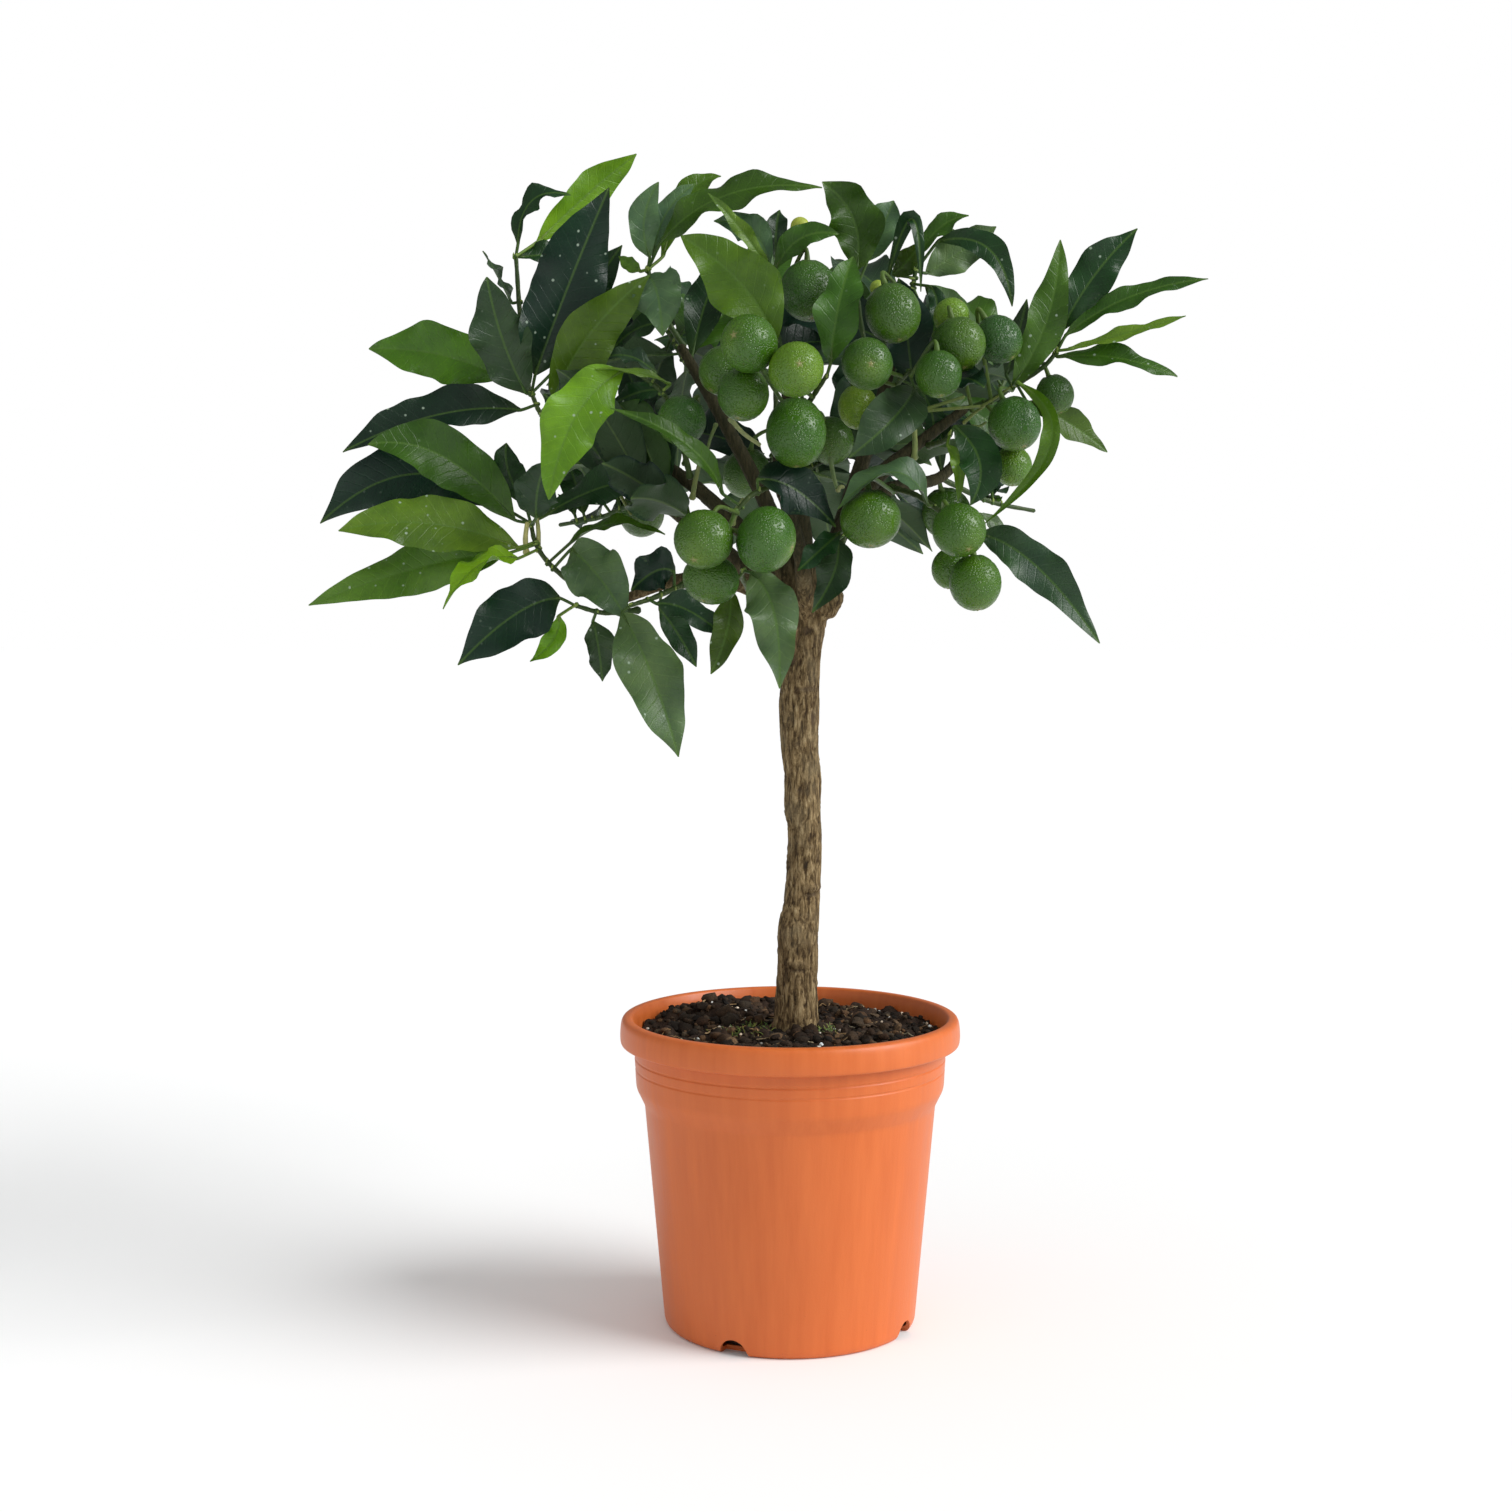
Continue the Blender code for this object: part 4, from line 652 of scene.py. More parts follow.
def grow_wood(thicket):
    """The trunk and its branches, each a route with its radii."""
    wood = {}
    for name, (start, end, places) in BRANCHES.items():
        route = smooth_route([placed(place) for place in places], 3)
        wood[name] = route, tapered(route, start, end)
        thicket.add("tree", tube_shape(*wood[name], 8))
    return wood


def grow_twig(name, places, thicket):
    """Grows the twig of a planned spray from where it clears the wood."""
    route = smooth_route([placed(place) for place in places], 3)
    found = rooted(name, route, TWIG_RADIUS, TWIG_RADIUS * 0.7, thicket)
    if not found:
        raise RuntimeError(f"the twig of {name} is never clear of its neighbours")
    thicket.add(name, tube_shape(*found))
    return found


def grow_kumquat(name, plan, thicket):
    """Hangs a fruit at its place, a little nearer or farther if its neighbours need the room."""
    (across, deep, high), width, length, facing, root = plan
    width, length, facing = width * MM, length * MM, Vector(facing).normalized()
    for shift in either_way(3, 16):
        centre = placed((across, deep + shift, high))
        body = ellipsoid_shape(centre, facing, width + 2 * CLEARANCE, length + 2 * CLEARANCE)
        if not thicket.is_clear(name, body):
            continue
        neck = centre - facing * length / 2
        stalk = smooth_route([placed(root), neck - facing * length / 4, centre - facing * length / 4], 3)
        found = rooted(name, stalk, STALK_RADIUS, STALK_RADIUS * 1.3, thicket)
        if found:
            thicket.add(name, ellipsoid_shape(centre, facing, width, length))
            thicket.add(name, tube_shape(*found))
            return centre, facing, width, length, found
    raise RuntimeError(f"{name} finds no room")


def settle_leaf(name, route, plan, thicket):
    """Grows a planned leaf, swinging its tip nearer or farther until it is clear of its neighbours."""
    base, middle, tip, width, turn, tone = plan
    facing = Vector((0, -1, 0))
    for size in (1.0, 0.9, 0.8, 0.7, 0.6):
        for lean in (0, 25, -25):
            for base_shift in (0, 8, -8, 16, -16):
                for shift in either_way(7, 9):
                    start = placed((base[0], base[1] + base_shift, base[2]))
                    mid = placed((middle[0], middle[1] + 0.45 * shift + base_shift, middle[2]))
                    end = placed((tip[0], tip[1] + shift + base_shift, tip[2]))
                    root = nearest_on(route, start)[0]
                    root -= (start - root).normalized() * ROOT_DEPTH
                    leaf = Leaf(root, start, start + (mid - start) * size, start + (end - start) * size,
                                width * size * MM, math.radians(turn + lean), tone, facing)
                    if try_leaf(name, leaf, thicket):
                        return leaf
    raise RuntimeError(f"a {tone} leaf of {name} at {base} finds no room")


def try_leaf(name, leaf, thicket, apart=False):
    """Adds the leaf if it is clear of everything."""
    if not thicket.is_clear(name, leaf.shape(extra=CLEARANCE), leaf.shape(first=0.3), apart):
        return False
    thicket.add(name, leaf.shape(), leaf.shape(first=0.3))
    return True


def within_crown(leaf):
    """Whether a fill leaf stays behind the crown's middle when seen from the front."""
    for t in (0.5, 1.0):
        spot = seen(leaf.at(t)[0])
        across = (spot.x - CORE_CENTRE[0]) / CORE_RADII[0]
        up = (spot.z - CORE_CENTRE[1]) / CORE_RADII[1]
        if across ** 2 + up ** 2 > 1:
            return False
    return True


def fill_twig(name, plan, thicket):
    """Grows the twig of a fill spray, bending up a little towards its end."""
    start, heading, climb, length, _ = plan
    heading, climb, length = math.radians(heading), math.radians(climb), length * MM
    flat = Vector((math.cos(heading), math.sin(heading), 0))
    ahead = math.cos(climb) * flat + Vector((0, 0, math.sin(climb)))
    first = placed(start)
    last = first + ahead * length + Vector((0, 0, 0.1 * length))
    route = smooth_route([first, first + ahead * length / 2, last], 3)
    found = rooted(name, route, TWIG_RADIUS, TWIG_RADIUS * 0.7, thicket)
    if not found:
        raise RuntimeError(f"the twig of {name} is never clear of its neighbours")
    thicket.add(name, tube_shape(*found))
    return found


def share_along(route, share):
    """The place at a share of the route, which lies on one of its straight pieces."""
    reach = share * (len(route) - 1)
    index = min(int(reach), len(route) - 2)
    return route[index].lerp(route[index + 1], reach - index)


def fill_leaf(name, route, share, index, dice, thicket):
    """Grows one leaf of a fill spray, a turn round the twig from the one before, wherever there is room."""
    place = share_along(route, share)
    ahead = (route[-1] - route[0]).normalized()
    side = ahead.cross(Vector((0, 0, 1))).normalized()
    over = side.cross(ahead)
    for attempt in range(FILL_TRIES):
        tried = attempt / FILL_TRIES
        around = TURN_BETWEEN_LEAVES * index + dice.uniform(-0.5, 0.5) * (1 + 7 * tried)
        spread = math.radians(dice.uniform(*(END_SPREAD if share == 1 else SIDE_SPREAD)))
        out = math.cos(around) * side + math.sin(around) * over
        way = math.cos(spread) * ahead + math.sin(spread) * out
        length = dice.uniform(*FILL_LENGTHS) * (1 - tried * FILL_SHRINK)
        base = place + way * FILL_PETIOLE
        droop = Vector((0, 0, -dice.uniform(*DROOP) * length))
        facing = Vector((dice.uniform(-0.5, 0.5), dice.choice((-0.8, 0.8)), 0.6)).normalized()
        leaf = Leaf(place - way * ROOT_DEPTH, base, base + way * length * 0.52, base + way * length + droop,
                    length * LENGTH_TO_WIDTH, dice.uniform(-0.5, 0.5), dice.choice(FILL_TONES), facing)
        across = leaf.at(0)[1]
        steady = across.dot(leaf.at(0.8)[1]) > STRAIGHTNESS and abs(across.dot(way)) < MOST_SKEW
        if steady and within_crown(leaf) and try_leaf(name, leaf, thicket, apart=True):
            return leaf
    return None


def grow_crown():
    """Settles the whole crown in one fixed order: wood, twigs, fruit, the planned leaves, then the fill."""
    thicket = Thicket()
    dice = random.Random(9)
    wood = grow_wood(thicket)
    twigs = {name: grow_twig(name, places, thicket) for name, (places, _) in SPRAYS.items()}
    twigs |= {name: fill_twig(name, plan, thicket) for name, plan in FILL_SPRAYS.items()}
    kumquats = {}
    for number, plan in enumerate(KUMQUATS, 1):
        name = f"kumquat_{number:02d}"
        kumquats[name] = grow_kumquat(name, plan, thicket)
    leaves = {name: [] for name in twigs}
    for name, (_, plans) in SPRAYS.items():
        for plan in plans:
            leaves[name].append(settle_leaf(name, twigs[name][0], plan, thicket))
    for name, plan in FILL_SPRAYS.items():
        count = plan[4]
        for index in range(count):
            share = FIRST_LEAF_SHARE + (1 - FIRST_LEAF_SHARE) * index / (count - 1)
            leaf = fill_leaf(name, twigs[name][0], share, index, dice, thicket)
            if leaf:
                leaves[name].append(leaf)
    return wood, twigs, kumquats, leaves


# ---------------------------------------------------------------- materials


class Shader:
    """A material, with its nodes added one by one in front of its Principled BSDF."""

    def __init__(self, name, roughness=0.5, specular=0.5):
        self.material = bpy.data.materials.new(name)
        self.material.use_nodes = True
        self.nodes = self.material.node_tree.nodes
        self.links = self.material.node_tree.links
        self.principled = self.nodes["Principled BSDF"]
        self.set_value("Roughness", roughness)
        self.set_value("Specular IOR Level", specular)

    def set_value(self, name, value):
        self.principled.inputs[name].default_value = value

    def node(self, kind, inputs, **settings):
        made = self.nodes.new("ShaderNode" + kind)
        for name, value in settings.items():
            setattr(made, name, value)
        for name, value in inputs.items():
            if isinstance(value, bpy.types.NodeSocket):
                self.links.new(value, made.inputs[name])
            else:
                made.inputs[name].default_value = value
        return made

    def link(self, value, name):
        self.links.new(value, self.principled.inputs[name])

    def place(self, scale=(1, 1, 1)):
        """The place on the object, stretched."""
        where = self.node("TexCoord", {}).outputs["Object"]
        return self.node("Mapping", {"Vector": where, "Scale": scale}).outputs["Vector"]

    def noise(self, where, scale, detail=3.0, roughness=0.5, distortion=0.0):
        inputs = {"Vector": where, "Scale": scale, "Detail": detail, "Roughness": roughness}
        return self.node("TexNoise", inputs | {"Distortion": distortion}).outputs["Fac"]

    def cells(self, where, scale, feature="F1", output="Distance"):
        return self.node("TexVoronoi", {"Vector": where, "Scale": scale}, feature=feature).outputs[output]

    def lucky(self, where, scale, least):
        """1 in the cells whose lot is above least, and 0 in the others."""
        lots = self.node("SeparateColor", {"Color": self.cells(where, scale, "F1", "Color")}).outputs[0]
        return self.maths("GREATER_THAN", lots, least)

    def ramp(self, factor, *stops):
        """Values between stops, each (place, value or colour)."""
        made = self.node("ValToRGB", {"Fac": factor})
        elements = made.color_ramp.elements
        while len(elements) < len(stops):
            elements.new(0.5)
        for element, (place, value) in zip(elements, stops):
            element.position = place
            element.color = (*value, 1) if isinstance(value, tuple) else (value, value, value, 1)
        return made.outputs["Color"]

    def mix(self, factor, first, second, blend="MIX"):
        inputs = {0: factor}
        for socket, value in ((6, first), (7, second)):
            inputs[socket] = value if isinstance(value, bpy.types.NodeSocket) else (*value, 1)
        return self.node("Mix", inputs, data_type="RGBA", blend_type=blend).outputs[2]

    def tint(self, factor, first, second):
        return self.mix(factor, first, second, "MULTIPLY")

    def maths(self, operation, first, second=0.0):
        return self.node("Math", {0: first, 1: second}, operation=operation).outputs[0]

    def plus(self, first, second):
        return self.maths("ADD", first, second)

    def times(self, first, second):
        return self.maths("MULTIPLY", first, second)

    def attribute(self, name, output="Color"):
        return self.node("Attribute", {}, attribute_name=name).outputs[output]

    def bump(self, height, distance, strength=1.0):
        made = self.node("Bump", {"Height": height, "Distance": distance, "Strength": strength})
        self.link(made.outputs["Normal"], "Normal")


def leaf_material():
    """Glossy citrus leaf. 'tone' is the leaf's own colour, and its alpha the strength of the dried drops.

    'blade' holds the distance along and across in centimetres, and 1 on the upper side or 0 on the underside.
    """
    shader = Shader("leaf", 0.36, 0.38)
    tone = shader.attribute("tone")
    spotted = shader.attribute("tone", "Alpha")
    blade = shader.node("SeparateXYZ", {"Vector": shader.attribute("blade", "Vector")})
    along, across, upper = (blade.outputs[axis] for axis in "XYZ")
    away = shader.maths("ABSOLUTE", across)
    where = shader.place()
    patches = shader.noise(where, 45, 4, 0.6)
    fine = shader.noise(where, 260, 3, 0.6)
    # Side veins run out from the midrib towards the tip
    slant = shader.maths("SUBTRACT", along, shader.times(away, 0.75))
    waver = shader.times(shader.noise(where, 110, 2), 0.35)
    lanes = shader.maths("FRACT", shader.maths("DIVIDE", shader.plus(slant, waver), 0.62))
    side_vein = shader.ramp(lanes, (0.0, 0.0), (0.42, 0.0), (0.5, 1.0), (0.58, 0.0), (1.0, 0.0))
    midrib = shader.ramp(away, (0.0, 1.0), (0.045, 0.75), (0.085, 0.0))
    net = shader.cells(where, 620, "DISTANCE_TO_EDGE")
    net = shader.ramp(net, (0.0, 1.0), (0.10, 0.0))
    # Colour: mottled, paler along the veins, and greyer below
    body = shader.tint(shader.ramp(patches, (0.32, 0.0), (0.66, 1.0)), tone, (1.75, 1.55, 1.2))
    body = shader.tint(shader.times(fine, 0.45), body, (0.40, 0.50, 0.45))
    body = shader.tint(shader.times(side_vein, 0.30), body, (1.7, 1.6, 1.3))
    body = shader.mix(shader.times(midrib, 0.45), body, (0.10, 0.20, 0.03))
    under = shader.mix(0.40, tone, (0.085, 0.150, 0.055))
    under = shader.mix(shader.times(midrib, 0.5), under, (0.17, 0.26, 0.08))
    body = shader.mix(upper, under, body)
    # Dried drops of hard water
    drop = shader.ramp(shader.cells(where, 210), (0.10, 1.0), (0.20, 0.0))
    drop = shader.times(drop, shader.lucky(where, 210, 0.80))
    drop = shader.times(drop, shader.times(spotted, upper))
    body = shader.mix(shader.times(drop, 0.8), body, (0.42, 0.52, 0.42))
    shader.link(body, "Base Color")
    gloss = shader.plus(0.50, shader.times(upper, -0.20))
    gloss = shader.plus(gloss, shader.times(patches, 0.12))
    shader.link(shader.plus(gloss, shader.times(drop, 0.3)), "Roughness")
    relief = shader.plus(shader.times(side_vein, -0.8), shader.times(fine, 0.9))
    relief = shader.plus(relief, shader.times(net, -0.25))
    shader.bump(relief, 0.00022, 0.8)
    glow = shader.node("BsdfTranslucent", {"Color": shader.tint(1.0, body, (2.2, 2.6, 0.5))})
    both = shader.node("MixShader", {0: 0.22, 1: shader.principled.outputs[0], 2: glow.outputs[0]})
    shader.links.new(both.outputs[0], shader.nodes["Material Output"].inputs["Surface"])
    return shader.material


def twig_material():
    """Young green twigs, petioles, stalks and calyxes, in their own 'tone'."""
    shader = Shader("green_twig", 0.5, 0.3)
    tone = shader.attribute("tone")
    where = shader.place((1, 1, 0.4))
    streaks = shader.noise(where, 420, 4, 0.6)
    lenticels = shader.ramp(shader.cells(where, 650), (0.10, 1.0), (0.22, 0.0))
    body = shader.tint(shader.ramp(streaks, (0.35, 0.0), (0.65, 1.0)), tone, (1.45, 1.30, 1.15))
    body = shader.mix(shader.times(lenticels, 0.25), body, (0.45, 0.45, 0.26))
    shader.link(body, "Base Color")
    shader.bump(streaks, 0.00025)
    return shader.material


def fruit_material():
    """Unripe peel: waxy, pitted with oil glands. 'tone' is the fruit's own colour."""
    shader = Shader("kumquat_peel", 0.28, 0.5)
    tone = shader.attribute("tone")
    scar = shader.attribute("tone", "Alpha")
    where = shader.place()
    patches = shader.noise(where, 60, 3, 0.55)
    glands = shader.cells(where, 900)
    body = shader.tint(shader.ramp(patches, (0.32, 0.0), (0.68, 1.0)), tone, (1.7, 1.4, 1.2))
    body = shader.tint(shader.ramp(glands, (0.0, 0.35), (0.45, 0.0)), body, (2.0, 1.7, 1.3))
    specks = shader.ramp(shader.cells(where, 240), (0.05, 1.0), (0.09, 0.0))
    body = shader.mix(shader.times(specks, 0.30), body, (0.30, 0.40, 0.12))
    body = shader.mix(scar, body, (0.26, 0.24, 0.09))
    shader.link(body, "Base Color")
    shader.link(shader.plus(0.24, shader.times(patches, 0.16)), "Roughness")
    shader.set_value("Subsurface Weight", 0.05)
    shader.set_value("Subsurface Radius", (0.35, 0.9, 0.12))
    shader.set_value("Subsurface Scale", 0.003)
    shader.bump(shader.ramp(glands, (0.0, 0.0), (0.55, 1.0)), 0.00045, 1.0)
    return shader.material


def bark_material():
    """Grey-tan bark with upright ridges, darker in the grooves as painted shade. 'relief' is 0 in the grooves
    and 1 on the ridges, its second channel marks knots and scars, and its third marks the branches in the
    crown, which are darkened partly for their young wood and partly as painted shade of the crown's inside."""
    shader = Shader("bark", 0.85, 0.25)
    relief = shader.node("SeparateColor", {"Color": shader.attribute("relief")})
    ridge, knot, young = (relief.outputs[channel] for channel in range(3))
    where = shader.place((1, 1, 0.22))
    streaks = shader.noise(where, 520, 6, 0.65, 0.5)
    round_place = shader.place()
    patches = shader.noise(round_place, 55, 3, 0.5)
    grain = shader.noise(round_place, 900, 4, 0.7)
    body = shader.ramp(streaks, (0.34, (0.040, 0.024, 0.010)), (0.46, (0.130, 0.085, 0.036)),
                       (0.56, (0.270, 0.190, 0.090)), (0.72, (0.460, 0.360, 0.200)))
    # Painted shade: the grooves are darkened
    body = shader.tint(shader.ramp(ridge, (0.05, 0.9), (0.50, 0.0)), body, (0.24, 0.18, 0.12))
    body = shader.mix(shader.ramp(patches, (0.50, 0.0), (0.72, 0.35)), body, (0.30, 0.25, 0.15))
    body = shader.tint(shader.ramp(grain, (0.35, 0.35), (0.55, 0.0)), body, (0.45, 0.40, 0.34))
    body = shader.mix(shader.times(knot, 0.75), body, (0.085, 0.058, 0.034))
    # The branches in the crown go nearly black: partly the colour of young wood, partly painted shade of the
    # crown's inside
    body = shader.mix(young, body, (0.022, 0.026, 0.010))
    shader.link(body, "Base Color")
    height = shader.plus(shader.times(streaks, 1.0), shader.times(grain, 0.35))
    shader.bump(height, 0.0014, 1.0)
    return shader.material


def soil_material():
    """Damp peat and bark crumbs. 'tone' is each crumb's own colour."""
    shader = Shader("potting_soil", 0.9, 0.25)
    tone = shader.attribute("tone")
    where = shader.place()
    coarse = shader.noise(where, 160, 5, 0.65)
    fine = shader.noise(where, 900, 4, 0.7)
    body = shader.tint(shader.ramp(coarse, (0.35, 0.0), (0.68, 1.0)), tone, (1.6, 1.5, 1.4))
    body = shader.tint(shader.ramp(fine, (0.40, 0.6), (0.62, 0.0)), body, (0.30, 0.28, 0.27))
    shader.link(body, "Base Color")
    shader.link(shader.ramp(coarse, (0.3, 0.75), (0.7, 0.98)), "Roughness")
    shader.bump(shader.plus(coarse, shader.times(fine, 0.6)), 0.0011)
    return shader.material


def pot_material():
    """Terracotta-coloured polypropylene: satin, with faint upright flow marks, scuffs and dust."""
    shader = Shader("pot_plastic", 0.42, 0.45)
    where = shader.place()
    flow = shader.noise(shader.place((1, 1, 0.05)), 130, 4, 0.6)
    cloud = shader.noise(where, 14, 3, 0.5)
    grain = shader.noise(where, 1300, 2, 0.6)
    streak = shader.ramp(flow, (0.30, 0.0), (0.72, 1.0))
    body = shader.mix(streak, (0.560, 0.116, 0.017), (0.640, 0.148, 0.028))
    body = shader.mix(shader.ramp(cloud, (0.35, 0.0), (0.70, 0.35)), body, (0.600, 0.142, 0.034))
    # Small specks of soil, thickest near the foot
    height = shader.node("SeparateXYZ", {"Vector": where}).outputs["Z"]
    low = shader.ramp(shader.maths("DIVIDE", height, POT_HEIGHT), (0.02, 0.9), (0.25, 0.15), (1.0, 0.10))
    dirt = shader.ramp(shader.cells(where, 420), (0.05, 1.0), (0.10, 0.0))
    dirt = shader.times(dirt, shader.lucky(where, 420, 0.90))
    body = shader.mix(shader.times(dirt, low), body, (0.16, 0.06, 0.03))
    shader.link(body, "Base Color")
    shader.link(shader.ramp(flow, (0.25, 0.36), (0.75, 0.50)), "Roughness")
    shader.set_value("Subsurface Weight", 0.06)
    shader.set_value("Subsurface Radius", (1.0, 0.3, 0.12))
    shader.set_value("Subsurface Scale", 0.002)
    shader.bump(shader.plus(shader.times(flow, 0.55), shader.times(grain, 0.25)),
                0.00035, 0.7)
    return shader.material


def floor_material():
    """Plain white paper, with the least variation."""
    shader = Shader("floor", 0.9, 0.1)
    tint = shader.noise(shader.place(), 3, 2)
    shader.link(shader.mix(tint, (0.945, 0.95, 0.95), (0.955, 0.96, 0.96)), "Base Color")
    return shader.material


# ---------------------------------------------------------------- pieces


class Patchwork:
    """Corners, faces and values of the parts of one piece, gathered before its mesh is made."""

    def __init__(self):
        self.corners, self.tones, self.blades, self.faces, self.finishes = [], [], [], [], []
        self.count = 0

    def add(self, corners, faces, tone, finish=0, blade=None):
        """tone is four numbers, or four for each corner."""
        corners = np.asarray(corners, float).reshape(-1, 3)
        tones = np.broadcast_to(np.asarray(tone, float), (len(corners), 4))
        self.corners.append(corners)
        self.tones.append(tones)
        self.blades.append(np.zeros((len(corners), 3)) if blade is None else blade)
        self.faces += [tuple(corner + self.count for corner in face) for face in faces]
        self.finishes += [finish] * len(faces)
        self.count += len(corners)

    def make(self, name, replaced, finishes, values="tone", sharp=60):
        """The finished piece, riding on the root, in place of the solids that it replaces."""
        mesh = bpy.data.meshes.new(name)
        mesh.from_pydata(np.concatenate(self.corners).tolist(), [], self.faces)
        tone = mesh.attributes.new(values, "FLOAT_COLOR", "POINT")
        tone.data.foreach_set("color", np.concatenate(self.tones).ravel().astype(np.float32))
        blade = mesh.attributes.new("blade", "FLOAT_VECTOR", "POINT")
        blade.data.foreach_set("vector", np.concatenate(self.blades).ravel().astype(np.float32))
        mesh.polygons.foreach_set("material_index", self.finishes)
        for finish in finishes:
            mesh.materials.append(finish)
        tidied(mesh)
        return finished(name, mesh, replaced, sharp)


def finished(name, mesh, replaced, sharp=60):
    """An object of the mesh, smoothed, riding on the root."""
    mesh.shade_smooth()
    mesh.set_sharp_from_angle(angle=math.radians(sharp))
    piece = bpy.data.objects.new(name, mesh)
    bpy.context.scene.collection.objects.link(piece)
    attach(piece, "root")
    if replaced:
        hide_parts(*replaced)
    return piece


def swept(route, radii, sides, dice=None, rough=0.0):
    """Corners and faces of a fine closed tube with round ends."""
    points = np.array([tuple(point) for point in route])
    radii = np.asarray(radii, float)
    ahead = np.gradient(points, axis=0)
    ahead /= np.linalg.norm(ahead, axis=1)[:, None]
    side = np.cross(ahead[0], (0.31, 0.22, 0.93))
    rings = []
    angles = np.arange(sides) * math.tau / sides
    for point, way, radius in zip(points, ahead, radii):
        side = side - way * side.dot(way)
        side /= np.linalg.norm(side)
        over = np.cross(way, side)
        wobble = 1
        if dice:
            wobble = 1 + rough * np.array([dice.uniform(-1, 1) for _ in range(sides)])[:, None]
        ring = np.cos(angles)[:, None] * side + np.sin(angles)[:, None] * over
        rings.append(point + ring * radius * wobble)
    # A smaller ring in front of each end rounds it
    rings.insert(0, points[0] - ahead[0] * radii[0] * 0.6 + (rings[0] - points[0]) * 0.6)
    rings.append(points[-1] + ahead[-1] * radii[-1] * 0.6 + (rings[-1] - points[-1]) * 0.6)
    faces = [tuple(reversed(range(sides)))]
    for ring in range(len(rings) - 1):
        for turn in range(sides):
            a, b = ring * sides + turn, ring * sides + (turn + 1) % sides
            faces.append((a, b, b + sides, a + sides))
    faces.append(tuple(range((len(rings) - 1) * sides, len(rings) * sides)))
    return np.concatenate(rings), faces


def lengthened(route, by):
    """The route begun a little earlier, so that it starts inside what it grows from."""
    return [route[0] - (route[1] - route[0]).normalized() * by, *route]


def varied(tone, dice, amount=0.12, spots=0.0):
    """A leaf's own colour: the tone, a little lighter or darker and a little bluer or yellower."""
    level = 1 + dice.uniform(-amount, amount)
    warm = dice.uniform(-amount, amount) * 0.7
    red, green, blue = tone
    return (red * level * (1 + warm), green * level, blue * level * (1 - warm), spots)


def add_leaf(patch, leaf, dice):
    """A fine leaf on a petiole: a thin, wavy blade with a fold along its midrib and a ridge below it."""
    length = (leaf.tip - leaf.base).length
    along = max(18, int(length / BLADE_STEP))
    across = max(5, int(leaf.width / BLADE_LANE))
    # t runs along the midrib, and s across the upper side and back below, from -1 to 1
    t = np.linspace(0, 1, along + 1)
    s = np.concatenate([np.linspace(-1, 1, 2 * across + 1), np.linspace(1, -1, 2 * across + 1)[1:-1]])
    s = np.sign(s) * np.abs(s) ** 1.25
    below = np.concatenate([np.zeros(2 * across + 1), np.ones(2 * across - 1)])[None, :]
    out, height = blade_form(leaf, dice, length, t, s)
    rib = np.exp(-(out / MIDRIB_WIDTH) ** 2) * (1 - 0.85 * t)[:, None]
    blade = BLADE_THICKNESS * (1 - 0.6 * np.abs(s))[None, :] + MIDRIB_DEPTH * rib
    height = height - 0.00025 * rib * (1 - below) - blade * below
    frames = [leaf.at(float(value)) for value in t]
    centre, side, upper = (np.array([[tuple(found[part])] for found in frames]) for part in range(3))
    place = centre + side * out[:, :, None] + upper * height[:, :, None]
    ring = len(s)
    faces = [tuple(range(ring)), tuple(reversed(range(along * ring, (along + 1) * ring)))]
    for station in range(along):
        for turn in range(ring):
            a, b = station * ring + turn, station * ring + (turn + 1) % ring
            faces.append((a, a + ring, b + ring, b))
    lanes = np.stack([np.broadcast_to(t[:, None] * length * 100, out.shape), out * 100,
                      np.broadcast_to(1 - below, out.shape)], axis=-1).reshape(-1, 3)
    spots = 1.0 if dice.random() < SPOTTED_SHARE else FEW_SPOTS
    tone = np.array(varied(LEAF_LOOKS[leaf.tone], dice, 0.16, spots))
    worn = (0.25 * np.exp(-t / 0.08) + 0.35 * np.exp(-(1 - t) / 0.03))[:, None, None]
    tones = tone * (1 - worn) + np.array((*WORN_TONE, spots)) * worn
    patch.add(place, faces, np.broadcast_to(tones, (along + 1, ring, 4)).reshape(-1, 4), 0, lanes)
    add_petiole(patch, leaf, dice)


def blade_form(leaf, dice, length, t, s):
    """How far out from the midrib, and how high over the plain of the blade, each of its corners lies."""
    hands, edges, t_column = np.sign(s)[None, :], np.abs(s), t[:, None]
    half = np.array([leaf.half_width(float(value)) for value in t])
    crenate = 1 + 0.012 * np.sin(t * length / MARGIN_TOOTH * math.tau / 2 + dice.uniform(0, 6))
    blunt = dice.choice(TIP_TAPERS)
    taper = np.where(t > TIP_START, 1 - blunt * ((t - TIP_START) / (1 - TIP_START)) ** 1.2, 1.0)
    half = np.maximum(half * crenate * taper * NARROWING.get(leaf.tone, 0.94), 0.0010 - 0.0007 * t)
    lean = 1 + 0.07 * dice.uniform(-1, 1) * hands
    waves = dice.uniform(1.6, 2.8)
    turns = math.tau * waves * t_column
    edge = 1 + 0.09 * np.sin(turns + dice.uniform(0, 6) + 2.2 * hands)
    out = half[:, None] * s[None, :] * lean * edge
    # The fold, slow waves, a finer ripple at the margin, and the margin's own droop
    fold = math.tan(math.radians(dice.uniform(8, 20)))
    height = np.abs(out) ** 1.15 * (0.008 ** -0.15) * fold
    swell = np.sin(turns + dice.uniform(0, 6) + 1.7 * hands * dice.uniform(0.3, 1))
    widest = np.minimum(half, 0.014)[:, None]
    height = height + swell * (edges ** 2)[None, :] * widest * dice.uniform(0.24, 0.42)
    quick = np.sin(math.tau * waves * 2.7 * t_column + dice.uniform(0, 6) + 2.4 * hands)
    height = height + quick * (edges ** 3)[None, :] * half[:, None] * 0.07
    return out, height - (edges ** 3)[None, :] * half[:, None] * dice.uniform(0.0, 0.10)


